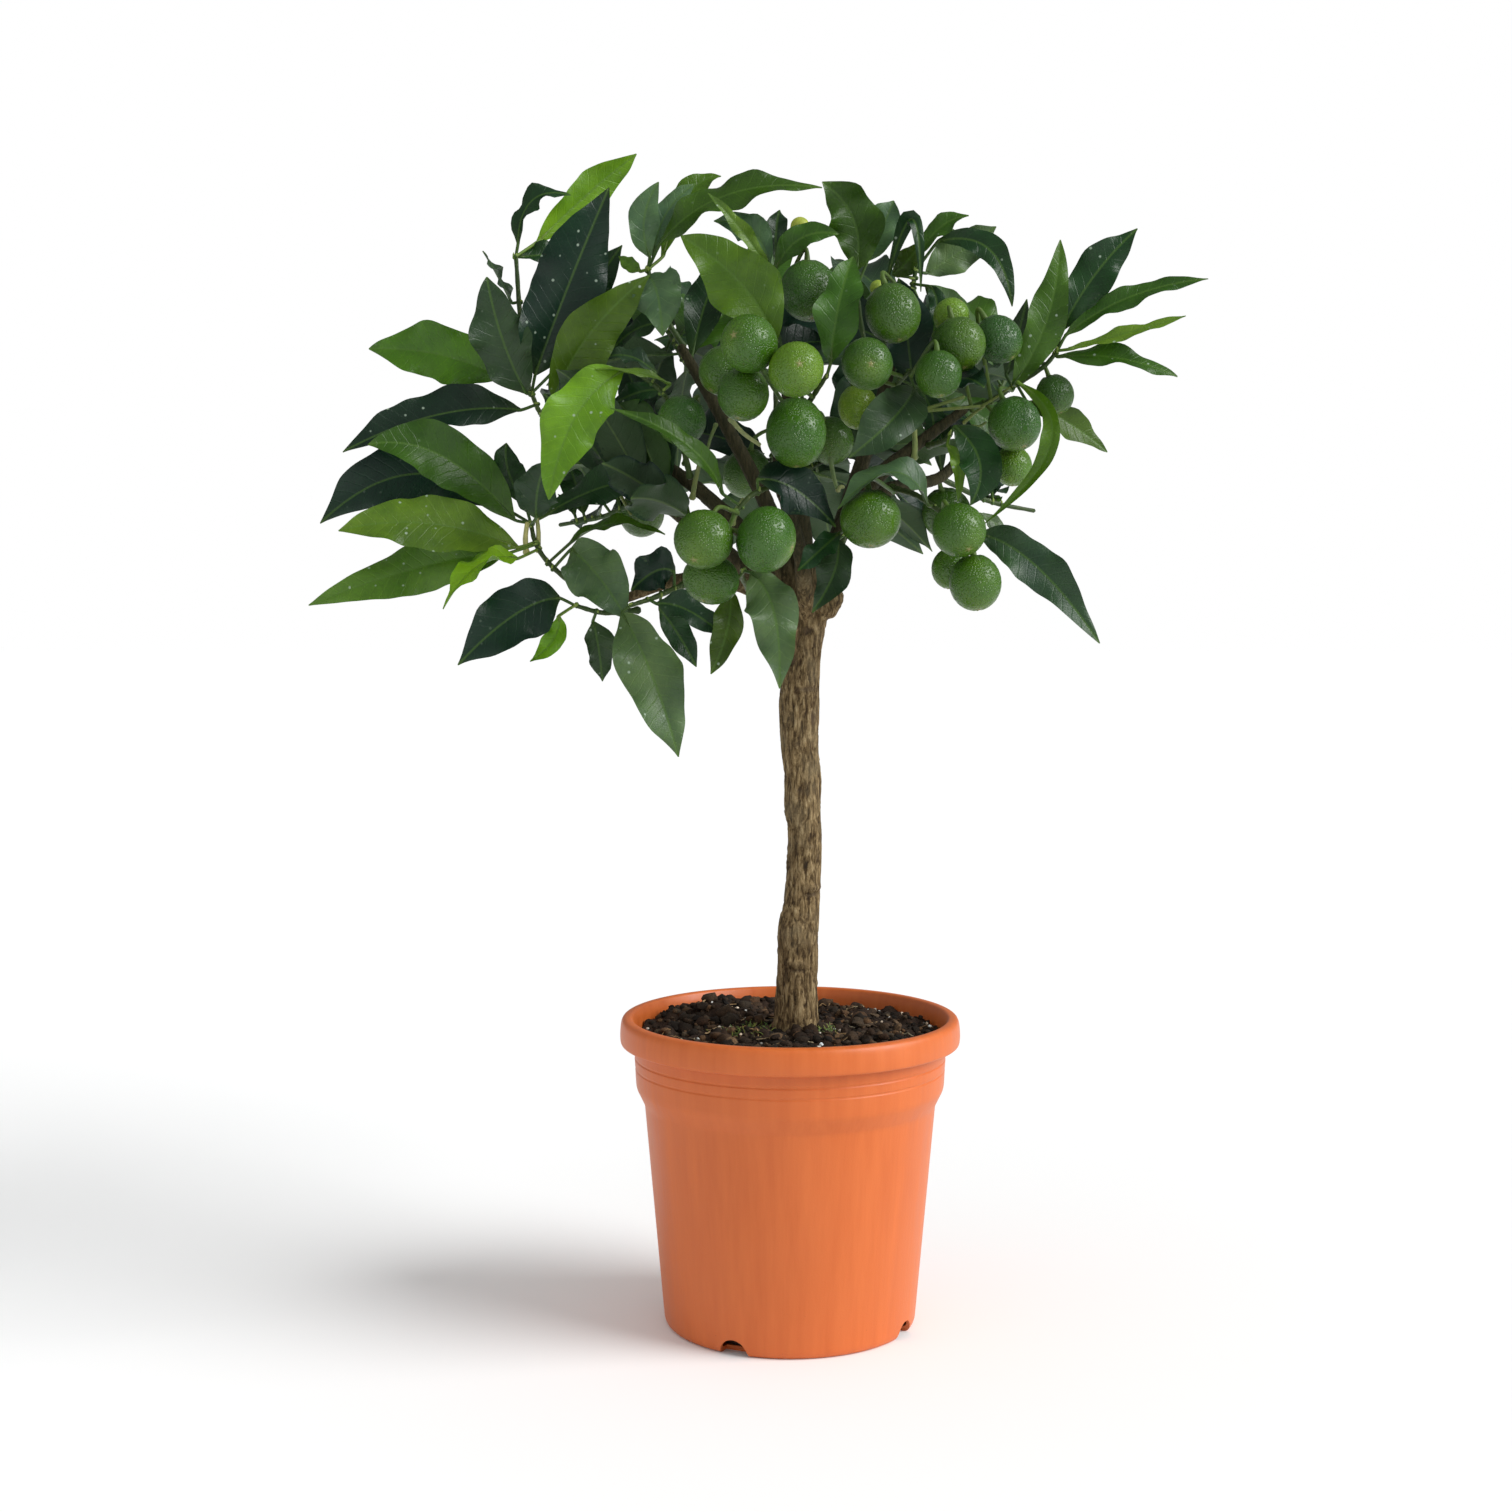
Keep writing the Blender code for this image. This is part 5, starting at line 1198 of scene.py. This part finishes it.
def add_petiole(patch, leaf, dice):
    """A leaf's stem, running on below its midrib, and the small bud in its angle with the twig."""
    way = (leaf.base - leaf.root).normalized()
    start, near, far = leaf.at(0), leaf.at(0.05), leaf.at(0.12)
    stem = smooth_route([
        leaf.root - way * 0.0008, leaf.root + way * 0.002, leaf.base - start[2] * 0.0003,
        near[0] - near[2] * 0.0005, far[0] - far[2] * 0.0006,
    ], 4)
    size = np.interp(np.linspace(0, 1, len(stem)), (0, 0.2, 0.7, 1), (0.00125, 0.00085, 0.00095, 0.0005))
    young = leaf.tone in ("light", "yellow", "bright")
    green = varied(YOUNG_PETIOLE if young else OLD_PETIOLE, dice)
    patch.add(*swept(stem, size, 8), green, 1)
    bud = [leaf.root + start[2] * 0.0010, leaf.root + start[2] * 0.0019 + way * 0.0012,
           leaf.root + start[2] * 0.0022 + way * 0.0024]
    patch.add(*swept(bud, (0.0008, 0.0007, 0.0002), 6), (*BUD_TONE, 0), 1)


def make_spray(name, twig, leaves, finishes):
    """A green twig with its leaves."""
    dice = random.Random("spray " + name)
    patch = Patchwork()
    route, radii = twig
    route = smooth_route(lengthened(route, 0.004), 3)
    size = np.interp(np.linspace(0, 1, len(route)), (0, 0.08, 1), (radii[0] * 1.35, radii[0], radii[-1]))
    size = size * (1 + 0.07 * np.sin(np.arange(len(route)) * 1.9))
    patch.add(*swept(route, size, 12, dice, 0.03), varied(TWIG_TONE, dice), 1)
    for leaf in leaves:
        add_leaf(patch, leaf, dice)
    return patch.make(f"foliage_{name}", [f"spray_{name}"], finishes, sharp=75)


def ball(steps):
    """Corners and faces of a round ball of radius 1 with even faces."""
    made = bmesh.new()
    bmesh.ops.create_icosphere(made, subdivisions=steps, radius=1)
    corners = np.array([tuple(corner.co) for corner in made.verts])
    faces = [tuple(corner.index for corner in face.verts) for face in made.faces]
    made.free()
    return corners, faces


def pitted(corners, pits=1500):
    """How deep each corner of the ball lies in one of the pits that are spread evenly over it, 0 to 1."""
    index = np.arange(pits) + 0.5
    polar = np.arccos(1 - 2 * index / pits)
    around = math.pi * (1 + 5 ** 0.5) * index
    dice = random.Random(5)
    tree = kdtree.KDTree(pits)
    for number in range(pits):
        place = Vector((math.sin(polar[number]) * math.cos(around[number]),
                        math.sin(polar[number]) * math.sin(around[number]), math.cos(polar[number])))
        jitter = Vector((dice.uniform(-1, 1), dice.uniform(-1, 1), dice.uniform(-1, 1))) * PIT_JITTER
        tree.insert(place + jitter, number)
    tree.balance()
    distance = np.array([tree.find(Vector(corner))[2] for corner in corners])
    return np.exp(-(distance / PIT_WIDTH) ** 2)


def hill(distance, width):
    """1 at no distance, falling off smoothly over the width."""
    return np.exp(-(distance / width) ** 2)


def make_kumquat(name, kumquat, globe, pits, finishes):
    """A pitted fruit with a scar at its flower end and a calyx and a stalk at the other."""
    dice = random.Random("fruit " + name)
    centre, facing, width, length, (route, radii) = kumquat
    corners, faces = globe
    side = facing.cross(Vector((0.3, 0.2, 1))).normalized()
    over = facing.cross(side)
    axes = np.array([tuple(side), tuple(over), tuple(facing)])
    angle = np.arccos(np.clip(corners[:, 2], -1, 1))
    around = np.arctan2(corners[:, 1], corners[:, 0])
    # The shoulders by the stalk are a little broader than the flower end
    shape = np.array((width / 2, width / 2, length / 2)) * (1 + 0.03 * -corners[:, 2:3])
    lumps = 0.00025 * np.sin(2 * around + dice.uniform(0, 6)) * np.sin(angle) ** 2
    stalk_end = math.pi - angle
    relief = lumps - PIT_DEPTH * pits
    # The flower end: a dimple with a nipple in it and short folds round it
    relief = relief - 0.0007 * hill(angle, 0.16) + 0.0009 * hill(angle, 0.055)
    relief = relief + 0.00022 * np.cos(8 * around) * hill(angle - 0.20, 0.09)
    # The stalk end: a wider dimple with folds round it
    relief = relief - 0.0009 * hill(stalk_end, 0.22)
    relief = relief + 0.0003 * np.cos(6 * around) * hill(stalk_end - 0.36, 0.2)
    places = (corners * (shape + relief[:, None])) @ axes + np.array(tuple(centre))
    tone = np.array(varied(FRUIT_TONES.get(name, FRUIT_TONE), dice, 0.14))
    tones = np.broadcast_to(tone, (len(corners), 4)).copy()
    pale = np.clip(hill(angle, 0.6) * 0.45 + 0.15 * np.cos(around + dice.uniform(0, 6)), 0, 1)[:, None]
    tones[:, :3] = tones[:, :3] * (1 - pale) + np.array(PALE_PEEL) * pale
    star = np.exp(-(angle / (0.110 + 0.045 * np.cos(5 * around))) ** 4)
    tones[:, 3] = np.clip(star * 0.85, 0, 1)
    patch = Patchwork()
    patch.add(places, faces, tones, 0)
    neck = centre - facing * (length / 2 - 0.0009)
    patch.add(*calyx_form(neck, facing, side, over, width), varied(CALYX_TONE, dice), 1)
    route = smooth_route(lengthened(route, 0.003), 3)
    inside = [point for point in route if (point - centre).length > (neck - centre).length * 0.93]
    size = np.interp(np.linspace(0, 1, len(inside)), (0, 0.15, 0.85, 1),
                     (radii[0] * 1.4, radii[0], radii[0] * 1.1, radii[0] * 1.8))
    stalk = swept([*inside, neck + facing * 0.0003], [*size, size[-1]], 10, dice, 0.04)
    patch.add(*stalk, varied(STALK_TONE, dice), 1)
    return patch.make(f"{name}_fruit", [name], finishes, sharp=80)


def calyx_form(neck, facing, side, over, width, turns=40, steps=5):
    """Corners and faces of a five-lobed collar that hugs the stalk end of a fruit."""
    lobes = np.arange(turns) * math.tau / turns
    rim = 0.0024 + 0.0011 * np.cos(5 * lobes)
    corners, faces = [], []
    for lift in (0.00055, -0.0003):
        for step in range(steps + 1):
            reach = rim * (0.15 + 0.85 * step / steps)
            drop = reach ** 2 / width * 1.1 - lift * (1 - 0.5 * step / steps)
            for turn in range(turns):
                flat = side * math.cos(lobes[turn]) * reach[turn] + over * math.sin(lobes[turn]) * reach[turn]
                corners.append(tuple(neck + flat + facing * (drop[turn] - 0.0002)))
    ring = (steps + 1) * turns
    for turn in range(turns):
        after = (turn + 1) % turns
        for step in range(steps):
            a, b = step * turns + turn, step * turns + after
            faces += [(a, b, b + turns, a + turns), (ring + a, ring + a + turns, ring + b + turns, ring + b)]
        a, b = steps * turns + turn, steps * turns + after
        faces += [(a, b, ring + b, ring + a), (turn, ring + turn, ring + after, after)]
    return corners, faces


def trunk_form():
    """The trunk's places and radii, read between its left and right edges."""
    heights, left, right = (np.array(row, float) * MM for row in zip(*TRUNK_OUTLINE))
    high = np.arange(heights[0], heights[-1], 0.002)
    left, right = np.interp(high, heights, left), np.interp(high, heights, right)
    soft = np.ones(7) / 7
    left = np.convolve(np.pad(left, 3, "edge"), soft, "valid")
    right = np.convolve(np.pad(right, 3, "edge"), soft, "valid")
    return [Vector((x, 0, z)) for x, z in zip((left + right) / 2, high)], (right - left) / 2


def remeshed(name, patch, size):
    """One closed skin round all the overlapping tubes of the patch."""
    mesh = bpy.data.meshes.new(name)
    mesh.from_pydata(np.concatenate(patch.corners).tolist(), [], patch.faces)
    tidied(mesh)
    rough = bpy.data.objects.new(name, mesh)
    bpy.context.scene.collection.objects.link(rough)
    skin = rough.modifiers.new("skin", "REMESH")
    skin.mode = "VOXEL"
    skin.voxel_size = size
    made = bpy.data.meshes.new_from_object(rough.evaluated_get(bpy.context.evaluated_depsgraph_get()))
    bpy.data.objects.remove(rough)
    return made


def wood_skin(wood):
    """One skin round the trunk, the branches, and the rounded knob at the end of the right stub."""
    patch = Patchwork()
    patch.add(*swept(*trunk_form(), 48), NO_TONE)
    for name, (branch, sizes) in wood.items():
        if name == "trunk":
            continue
        fine = smooth_route(branch, 3)
        size = np.interp(np.linspace(0, 1, len(fine)), np.linspace(0, 1, len(sizes)), sizes)
        patch.add(*swept(fine, size * 1.02, 20), NO_TONE)
    patch.add(*swept([Vector(place) for place in KNOB_PLACES], KNOB_RADII, 20), NO_TONE)
    return remeshed("wood_skin", patch, WOOD_GRAIN)


def read_vectors(values, name, count):
    """The places or normals of a mesh, one in each row."""
    found = np.empty(count * 3)
    values.foreach_get(name, found)
    return found.reshape(-1, 3)


def make_wood(wood, finish):
    """Trunk and branches with ridged bark, knots and pruning scars."""
    mesh = wood_skin(wood)
    count = len(mesh.vertices)
    places = read_vectors(mesh.vertices, "co", count)
    normals = read_vectors(mesh.vertex_normals, "vector", count)
    across, high = places[:, 0], places[:, 2]
    # 1 on the trunk, 0 on the branches
    old = np.clip((0.408 - high) / 0.03, 0, 1) * np.clip((0.034 - np.abs(across - 0.008)) / 0.012, 0, 1)
    ridges, broad = np.empty(count), np.empty(count)
    for index, (x, y, z) in enumerate(places):
        warp = noise.noise(Vector((x * 60, y * 60, z * 30))) * 0.6
        ridges[index] = noise.fractal(Vector((x * 330 + warp, y * 330, z * 42)), 0.8, 2.2, 4)
        broad[index] = noise.noise(Vector((x * 90, y * 90, z * 28)))
    groove = np.clip(np.abs(ridges) * 3.2, 0, 1)
    height = (0.00065 * (groove - 1) + 0.00045 * ridges) * (0.35 + 0.65 * old) + 0.0008 * broad * old
    knots = np.zeros(count)
    front = np.clip(-normals[:, 1] * 2, 0, 1)
    for x, z, wide, tall, rise in TRUNK_MARKS:
        far = ((across - x * MM) / (wide * MM)) ** 2 + ((high - z * MM) / (tall * MM)) ** 2
        mark = np.exp(-far) * front
        height += rise * MM * mark
        knots = np.maximum(knots, np.clip(1.4 * mark - 0.2, 0, 1) * (1 if rise < 0 else 0.35))
    places = places + normals * height[:, None]
    mesh.vertices.foreach_set("co", places.ravel())
    # The branches darken from the top of the trunk upwards: partly their young wood, partly painted shade of
    # the crown's inside
    young = (1 - old) * np.clip((places[:, 2] - 0.395) / 0.04, 0, 0.88)
    values = np.stack([groove * (0.4 + 0.6 * old) + 0.6 * (1 - old), knots, young, np.ones(count)], axis=1)
    relief = mesh.attributes.new("relief", "FLOAT_COLOR", "POINT")
    relief.data.foreach_set("color", values.ravel().astype(np.float32))
    mesh.materials.append(finish)
    return finished("bark_and_branches", mesh, ["tree_wood"], 180)


def make_twiglets(finishes):
    """Bare side twigs, cut stubs and buds, too small to be solids of their own."""
    dice = random.Random("twiglets")
    patch = Patchwork()
    for start, end, thick, tone in TWIGLETS:
        a, b = placed(start), placed(end)
        bend = (a + b) / 2 + Vector((dice.uniform(-1, 1), dice.uniform(-1, 1), dice.uniform(-1, 1))) * 0.0012
        route = smooth_route([a, bend, b], 4)
        swelling = np.interp(np.linspace(0, 1, len(route)), (0, 0.12, 0.9, 1), (1.35, 1.0, 0.8, 0.85))
        patch.add(*swept(route, swelling * thick * MM, 10, dice, 0.05), varied(tone, dice), 0)
    corners, faces = ball(3)
    for centre, radius, tone in BUDS:
        patch.add(corners * radius * MM + np.array(tuple(placed(centre))), faces, varied(tone, dice), 0)
    return patch.make("twiglets_and_buds", [], finishes)


def tidied(mesh):
    """Every face turned outwards."""
    work = bmesh.new()
    work.from_mesh(mesh)
    bmesh.ops.recalc_face_normals(work, faces=work.faces)
    work.to_mesh(mesh)
    work.free()


def eased(corners, steps=6):
    """A profile in which each corner (radius, height, ease) is rounded off over the length ease."""
    route = []
    for index, (x, z, ease) in enumerate(corners):
        here = Vector((x, z))
        if ease == 0 or index in (0, len(corners) - 1):
            route.append(here)
            continue
        before, after = Vector(corners[index - 1][:2]), Vector(corners[index + 1][:2])
        start = here + (before - here).normalized() * min(ease, (before - here).length / 2)
        end = here + (after - here).normalized() * min(ease, (after - here).length / 2)
        for step in range(steps + 1):
            t = step / steps
            route.append((1 - t) ** 2 * start + 2 * t * (1 - t) * here + t * t * end)
    return route


def lathe(profile, sides):
    """Corners and faces of a body turned round the upright axis. The profile begins and ends on the axis."""
    rings = np.array([tuple(point) for point in profile[1:-1]])
    angles = np.arange(sides) * math.tau / sides
    body = np.stack([rings[:, 0:1] * np.cos(angles), rings[:, 0:1] * np.sin(angles),
                     np.broadcast_to(rings[:, 1:2], (len(rings), sides))], axis=-1).reshape(-1, 3)
    corners = np.concatenate([body, [(0, 0, profile[0].y), (0, 0, profile[-1].y)]])
    faces = []
    last = len(rings) - 1
    for turn in range(sides):
        after = (turn + 1) % sides
        faces.append((len(body), turn, after))
        faces.append((len(body) + 1, last * sides + after, last * sides + turn))
        for ring in range(last):
            a, b = ring * sides + turn, ring * sides + after
            faces.append((a, a + sides, b + sides, b))
    return corners, faces


def pot_profile():
    """The pot's outline, from the middle of its inner floor over the rim to the middle of its base."""
    inner_base, inner_rim = BASE_RADIUS - WALL, RIM_RADIUS - RIM_WIDTH
    band = POT_HEIGHT - BAND_DEPTH
    inside = [
        (0, FLOOR, 0), (inner_base - 0.002, FLOOR, 0.0015), (inner_base, FLOOR + 0.002, 0.001),
        (BODY_RADIUS - WALL, LEDGE_BOTTOM, 0.002),
        (COLLAR_RADIUS - COLLAR_TAPER - WALL, LEDGE_TOP + 0.0005, 0.002),
        (COLLAR_RADIUS - WALL, band, 0.001), (inner_rim - 0.0007, POT_HEIGHT - 0.0043, 0.002),
    ]
    rim = [
        (inner_rim + 0.0009, POT_HEIGHT, 0.0014), (RIM_RADIUS - 0.0025, POT_HEIGHT, 0.0018),
        (RIM_RADIUS - 0.0007, POT_HEIGHT - 0.0021, 0.003), (RIM_RADIUS, POT_HEIGHT - 0.0093, 0.003),
        (RIM_RADIUS - 0.0003, band + 0.0011, 0.001), (RIM_RADIUS - 0.0010, band, 0.0007),
        (COLLAR_RADIUS, band, 0.0010),
    ]
    lines = [
        (radius - in_by, high - down, LINE_EASE)
        for radius, high, depth in COLLAR_LINES
        for in_by, down in ((0, 0), (depth, 0.0005), (depth, 0.0011), (0.00005, 0.0017))
    ]
    outside = [
        (COLLAR_RADIUS - COLLAR_TAPER, LEDGE_TOP, 0.0022),
        (BODY_RADIUS + 0.0007, LEDGE_BOTTOM + 0.0012, 0.0016),
        (BODY_RADIUS - 0.0002, LEDGE_BOTTOM - 0.0010, 0.002), (BASE_RADIUS + 0.0001, 0.0032, 0.0015),
        (BASE_RADIUS - 0.0011, 0.0008, 0.0012), (BASE_RADIUS - 0.0029, 0, 0.0008), (0, 0, 0),
    ]
    return eased([*inside, *rim, *lines, *outside])


def make_pot(finish):
    """The nursery pot: rolled rim, collar with two faint lines, ledge, tapering body and notched foot."""
    corners, faces = lathe(pot_profile(), POT_SIDES)
    mesh = bpy.data.meshes.new("pot_wall")
    mesh.from_pydata(corners.tolist(), [], faces)
    tidied(mesh)
    rough = bpy.data.objects.new("pot_wall", mesh)
    bpy.context.scene.collection.objects.link(rough)
    cutters = []
    for number in range(NOTCHES):
        heading = NOTCH_HEADING + math.tau * number / NOTCHES
        arch = bmesh.new()
        bmesh.ops.create_cone(arch, cap_ends=True, segments=48, radius1=1, radius2=1, depth=1)
        mesh = bpy.data.meshes.new(f"notch_{number}")
        arch.to_mesh(mesh)
        arch.free()
        cutter = bpy.data.objects.new(f"notch_{number}", mesh)
        bpy.context.scene.collection.objects.link(cutter)
        turn = Matrix.Rotation(heading, 4, "Z") @ Matrix.Rotation(math.radians(90), 4, "Y")
        reach = BASE_RADIUS - NOTCH_INSET
        foot = Matrix.Translation((reach * math.cos(heading), reach * math.sin(heading), 0))
        cutter.matrix_world = foot @ turn @ Matrix.Diagonal((*NOTCH_SHAPE, 1))
        cut = rough.modifiers.new(cutter.name, "BOOLEAN")
        cut.operation = "DIFFERENCE"
        cut.solver = "EXACT"
        cut.object = cutter
        cutters.append(cutter)
    bpy.context.view_layer.update()
    made = bpy.data.meshes.new_from_object(rough.evaluated_get(bpy.context.evaluated_depsgraph_get()))
    for helper in (rough, *cutters):
        bpy.data.objects.remove(helper)
    made.materials.clear()
    made.materials.append(finish)
    return finished("nursery_pot", made, ["pot"], 40)


def soil_height(x, y):
    """The level of the soil: low, uneven, heaped up at the back left."""
    reach = math.hypot(x, y)
    heap = 0.0065 * math.exp(-(((x + 0.045) / 0.030) ** 2 + ((y - 0.045) / 0.030) ** 2))
    root = 0.0030 * math.exp(-((x - 0.004) ** 2 + y ** 2) / 0.022 ** 2)
    uneven = 0.0016 * noise.noise(Vector((x * 60, y * 60, 3)))
    uneven += 0.0009 * noise.noise(Vector((x * 170, y * 170, 8)))
    crumbly = 0.0006 * noise.noise(Vector((x * 520, y * 520, 2)))
    clods = 0.0058 * max(0.0, noise.noise(Vector((x * 110, y * 110, 5))))
    back = 0.0022 * max(0.0, y / 0.085)
    return SOIL_LEVEL + back + heap + root + uneven + clods + crumbly - 0.0015 * (reach / 0.085) ** 4


def soil_form():
    """Corners and faces of the soil: its uneven top, and a body that follows the inside of the pot."""
    rings, sides = SOIL_RINGS, SOIL_SIDES
    corners, faces = [(0, 0, soil_height(0, 0))], []
    spins = [(math.cos(math.tau * turn / sides), math.sin(math.tau * turn / sides)) for turn in range(sides)]
    for ring in range(1, rings + 1):
        for spin in spins:
            x, y = (SOIL_RADIUS * ring / rings * part for part in spin)
            corners.append((x, y, soil_height(x, y)))
    for radius, high in SOIL_BODY:
        corners += [(radius * across, radius * deep, high) for across, deep in spins]
    last = rings + len(SOIL_BODY) - 1
    for turn in range(sides):
        faces.append((0, 1 + turn, 1 + (turn + 1) % sides))
        for ring in range(last):
            a, b = 1 + ring * sides + turn, 1 + ring * sides + (turn + 1) % sides
            faces.append((a, a + sides, b + sides, b))
    faces.append(tuple(1 + last * sides + turn for turn in reversed(range(sides))))
    return corners, faces


def crumb(corners, dice, size, flat):
    """A ragged lump."""
    shift = Vector((dice.uniform(0, 50), dice.uniform(0, 50), dice.uniform(0, 50)))
    swell = np.array([1 + 0.45 * noise.noise(Vector(corner) * 1.7 + shift) for corner in corners])
    turn = Matrix.Rotation(dice.uniform(0, 6.3), 3, "Z") @ Matrix.Rotation(dice.uniform(-0.9, 0.9), 3, "X")
    stretch = np.array((dice.uniform(0.7, 1.3), dice.uniform(0.6, 1.1), flat))
    return (corners * swell[:, None] * stretch * size) @ np.array(turn).T


def spot_within(reach, dice):
    """A random spot on the soil, no farther than reach from its middle."""
    far, angle = reach * math.sqrt(dice.random()), dice.uniform(0, math.tau)
    return far * math.cos(angle), far * math.sin(angle)


def make_soil(finish):
    """The root ball's crumbly top, with perlite, bark chips, roots and moss."""
    dice = random.Random(11)
    patch = Patchwork()
    patch.add(*soil_form(), (0.030, 0.017, 0.010, 0))
    small, small_faces = ball(2)
    for count, sizes, tones, flat, sink, spread in SOIL_CRUMBS:
        for _ in range(count):
            x, y = spot_within(spread, dice)
            size = dice.uniform(*sizes) * MM
            places = crumb(small, dice, size, flat * dice.uniform(0.7, 1.2))
            places += np.array((x, y, soil_height(x, y) + size * sink))
            patch.add(places, small_faces, varied(dice.choice(tones), dice, 0.25))
    for _ in range(ROOTLETS):
        x, y = spot_within(0.076, dice)
        heading = dice.uniform(0, math.tau)
        route = []
        for _ in range(6):
            x, y = x + ROOTLET_STEP * math.cos(heading), y + ROOTLET_STEP * math.sin(heading)
            heading += dice.uniform(-0.6, 0.6)
            if math.hypot(x, y) < 0.082:
                route.append(Vector((x, y, soil_height(x, y) + 0.0009 + 0.0006 * dice.random())))
        if len(route) > 2:
            fine = smooth_route(route, 3)
            rootlet = swept(fine, np.full(len(fine), dice.uniform(0.00018, 0.00040)), 6)
            patch.add(*rootlet, varied(dice.choice(ROOTLET_TONES), dice, 0.2))
    for (x, y), radius, count, tone in MOSS:
        for _ in range(count):
            a, b = (value * MM + dice.gauss(0, radius * MM) for value in (x, y))
            if math.hypot(a, b) > 0.081:
                continue
            foot = Vector((a, b, soil_height(a, b) - 0.0006))
            lean = Vector((dice.uniform(-1, 1), dice.uniform(-1, 1), dice.uniform(0.5, 1.6))) * 0.0024
            route = smooth_route([foot, foot + lean, foot + 1.7 * lean + Vector((0, 0, -0.0012))], 3)
            patch.add(*swept(route, np.linspace(0.00034, 0.00016, len(route)), 5), varied(tone, dice, 0.3))
    return patch.make("soil_bed", ["soil"], [finish], sharp=70)


# ---------------------------------------------------------------- stage


def aimed(light, towards):
    """Turns a light whose rays come from the direction towards."""
    light.rotation_euler = Vector(towards).to_track_quat("Z", "Y").to_euler()


def set_stage():
    """A white floor in a white room, a soft key light from the right, a weak fill and the camera."""
    bpy.context.scene.view_settings.view_transform = "Standard"
    mesh = bpy.data.meshes.new("floor")
    corners = [(x * FLOOR_REACH, y * FLOOR_REACH, 0) for x, y in ((-1, -1), (1, -1), (1, 1), (-1, 1))]
    mesh.from_pydata(corners, [], [(0, 1, 2, 3)])
    mesh.materials.append(floor_material())
    floor = bpy.data.objects.new("floor", mesh)
    bpy.context.scene.collection.objects.link(floor)
    for name, strength, angle, towards in LIGHTS:
        lamp = bpy.data.lights.new(name, "SUN")
        lamp.energy = strength
        lamp.angle = math.radians(angle)
        light = bpy.data.objects.new(name, lamp)
        aimed(light, towards)
        bpy.context.scene.collection.objects.link(light)
    set_world()
    set_camera()


def set_world():
    """A white room that lights the plant, is dimmer where it is mirrored, and is full white behind it."""
    world = bpy.data.worlds.new("white_room")
    world.use_nodes = True
    nodes, links = world.node_tree.nodes, world.node_tree.links
    path = nodes.new("ShaderNodeLightPath")
    back = nodes["Background"]
    back.inputs["Color"].default_value = (1, 1, 1, 1)
    back.inputs["Strength"].default_value = ROOM_LIGHT
    for ray, strength in (("Is Glossy Ray", ROOM_MIRRORED), ("Is Camera Ray", ROOM_SEEN)):
        other = nodes.new("ShaderNodeBackground")
        other.inputs["Color"].default_value = (1, 1, 1, 1)
        other.inputs["Strength"].default_value = strength
        either = nodes.new("ShaderNodeMixShader")
        links.new(path.outputs[ray], either.inputs[0])
        links.new(back.outputs[0], either.inputs[1])
        links.new(other.outputs[0], either.inputs[2])
        back = either
    links.new(back.outputs[0], nodes["World Output"].inputs["Surface"])
    bpy.context.scene.world = world


def set_camera():
    """The camera, with no depth of field."""
    lens = bpy.data.cameras.new("camera")
    lens.lens = CAMERA_LENS
    lens.sensor_width = SENSOR_WIDTH
    camera = bpy.data.objects.new("camera", lens)
    camera.location = EYE
    camera.rotation_euler = (math.radians(90) - CAMERA_PITCH, 0, 0)
    bpy.context.scene.collection.objects.link(camera)
    bpy.context.scene.camera = camera


def main():
    """Makes every piece and the stage."""
    wood, twigs, kumquats, leaves = grow_crown()
    leaf, green, peel = leaf_material(), twig_material(), fruit_material()
    for name, spray in leaves.items():
        make_spray(name, twigs[name], spray, [leaf, green])
    globe = ball(5)
    pits = pitted(globe[0])
    for name, kumquat in kumquats.items():
        make_kumquat(name, kumquat, globe, pits, [peel, green])
    make_wood(wood, bark_material())
    make_twiglets([green])
    make_pot(pot_material())
    make_soil(soil_material())
    set_stage()


main()
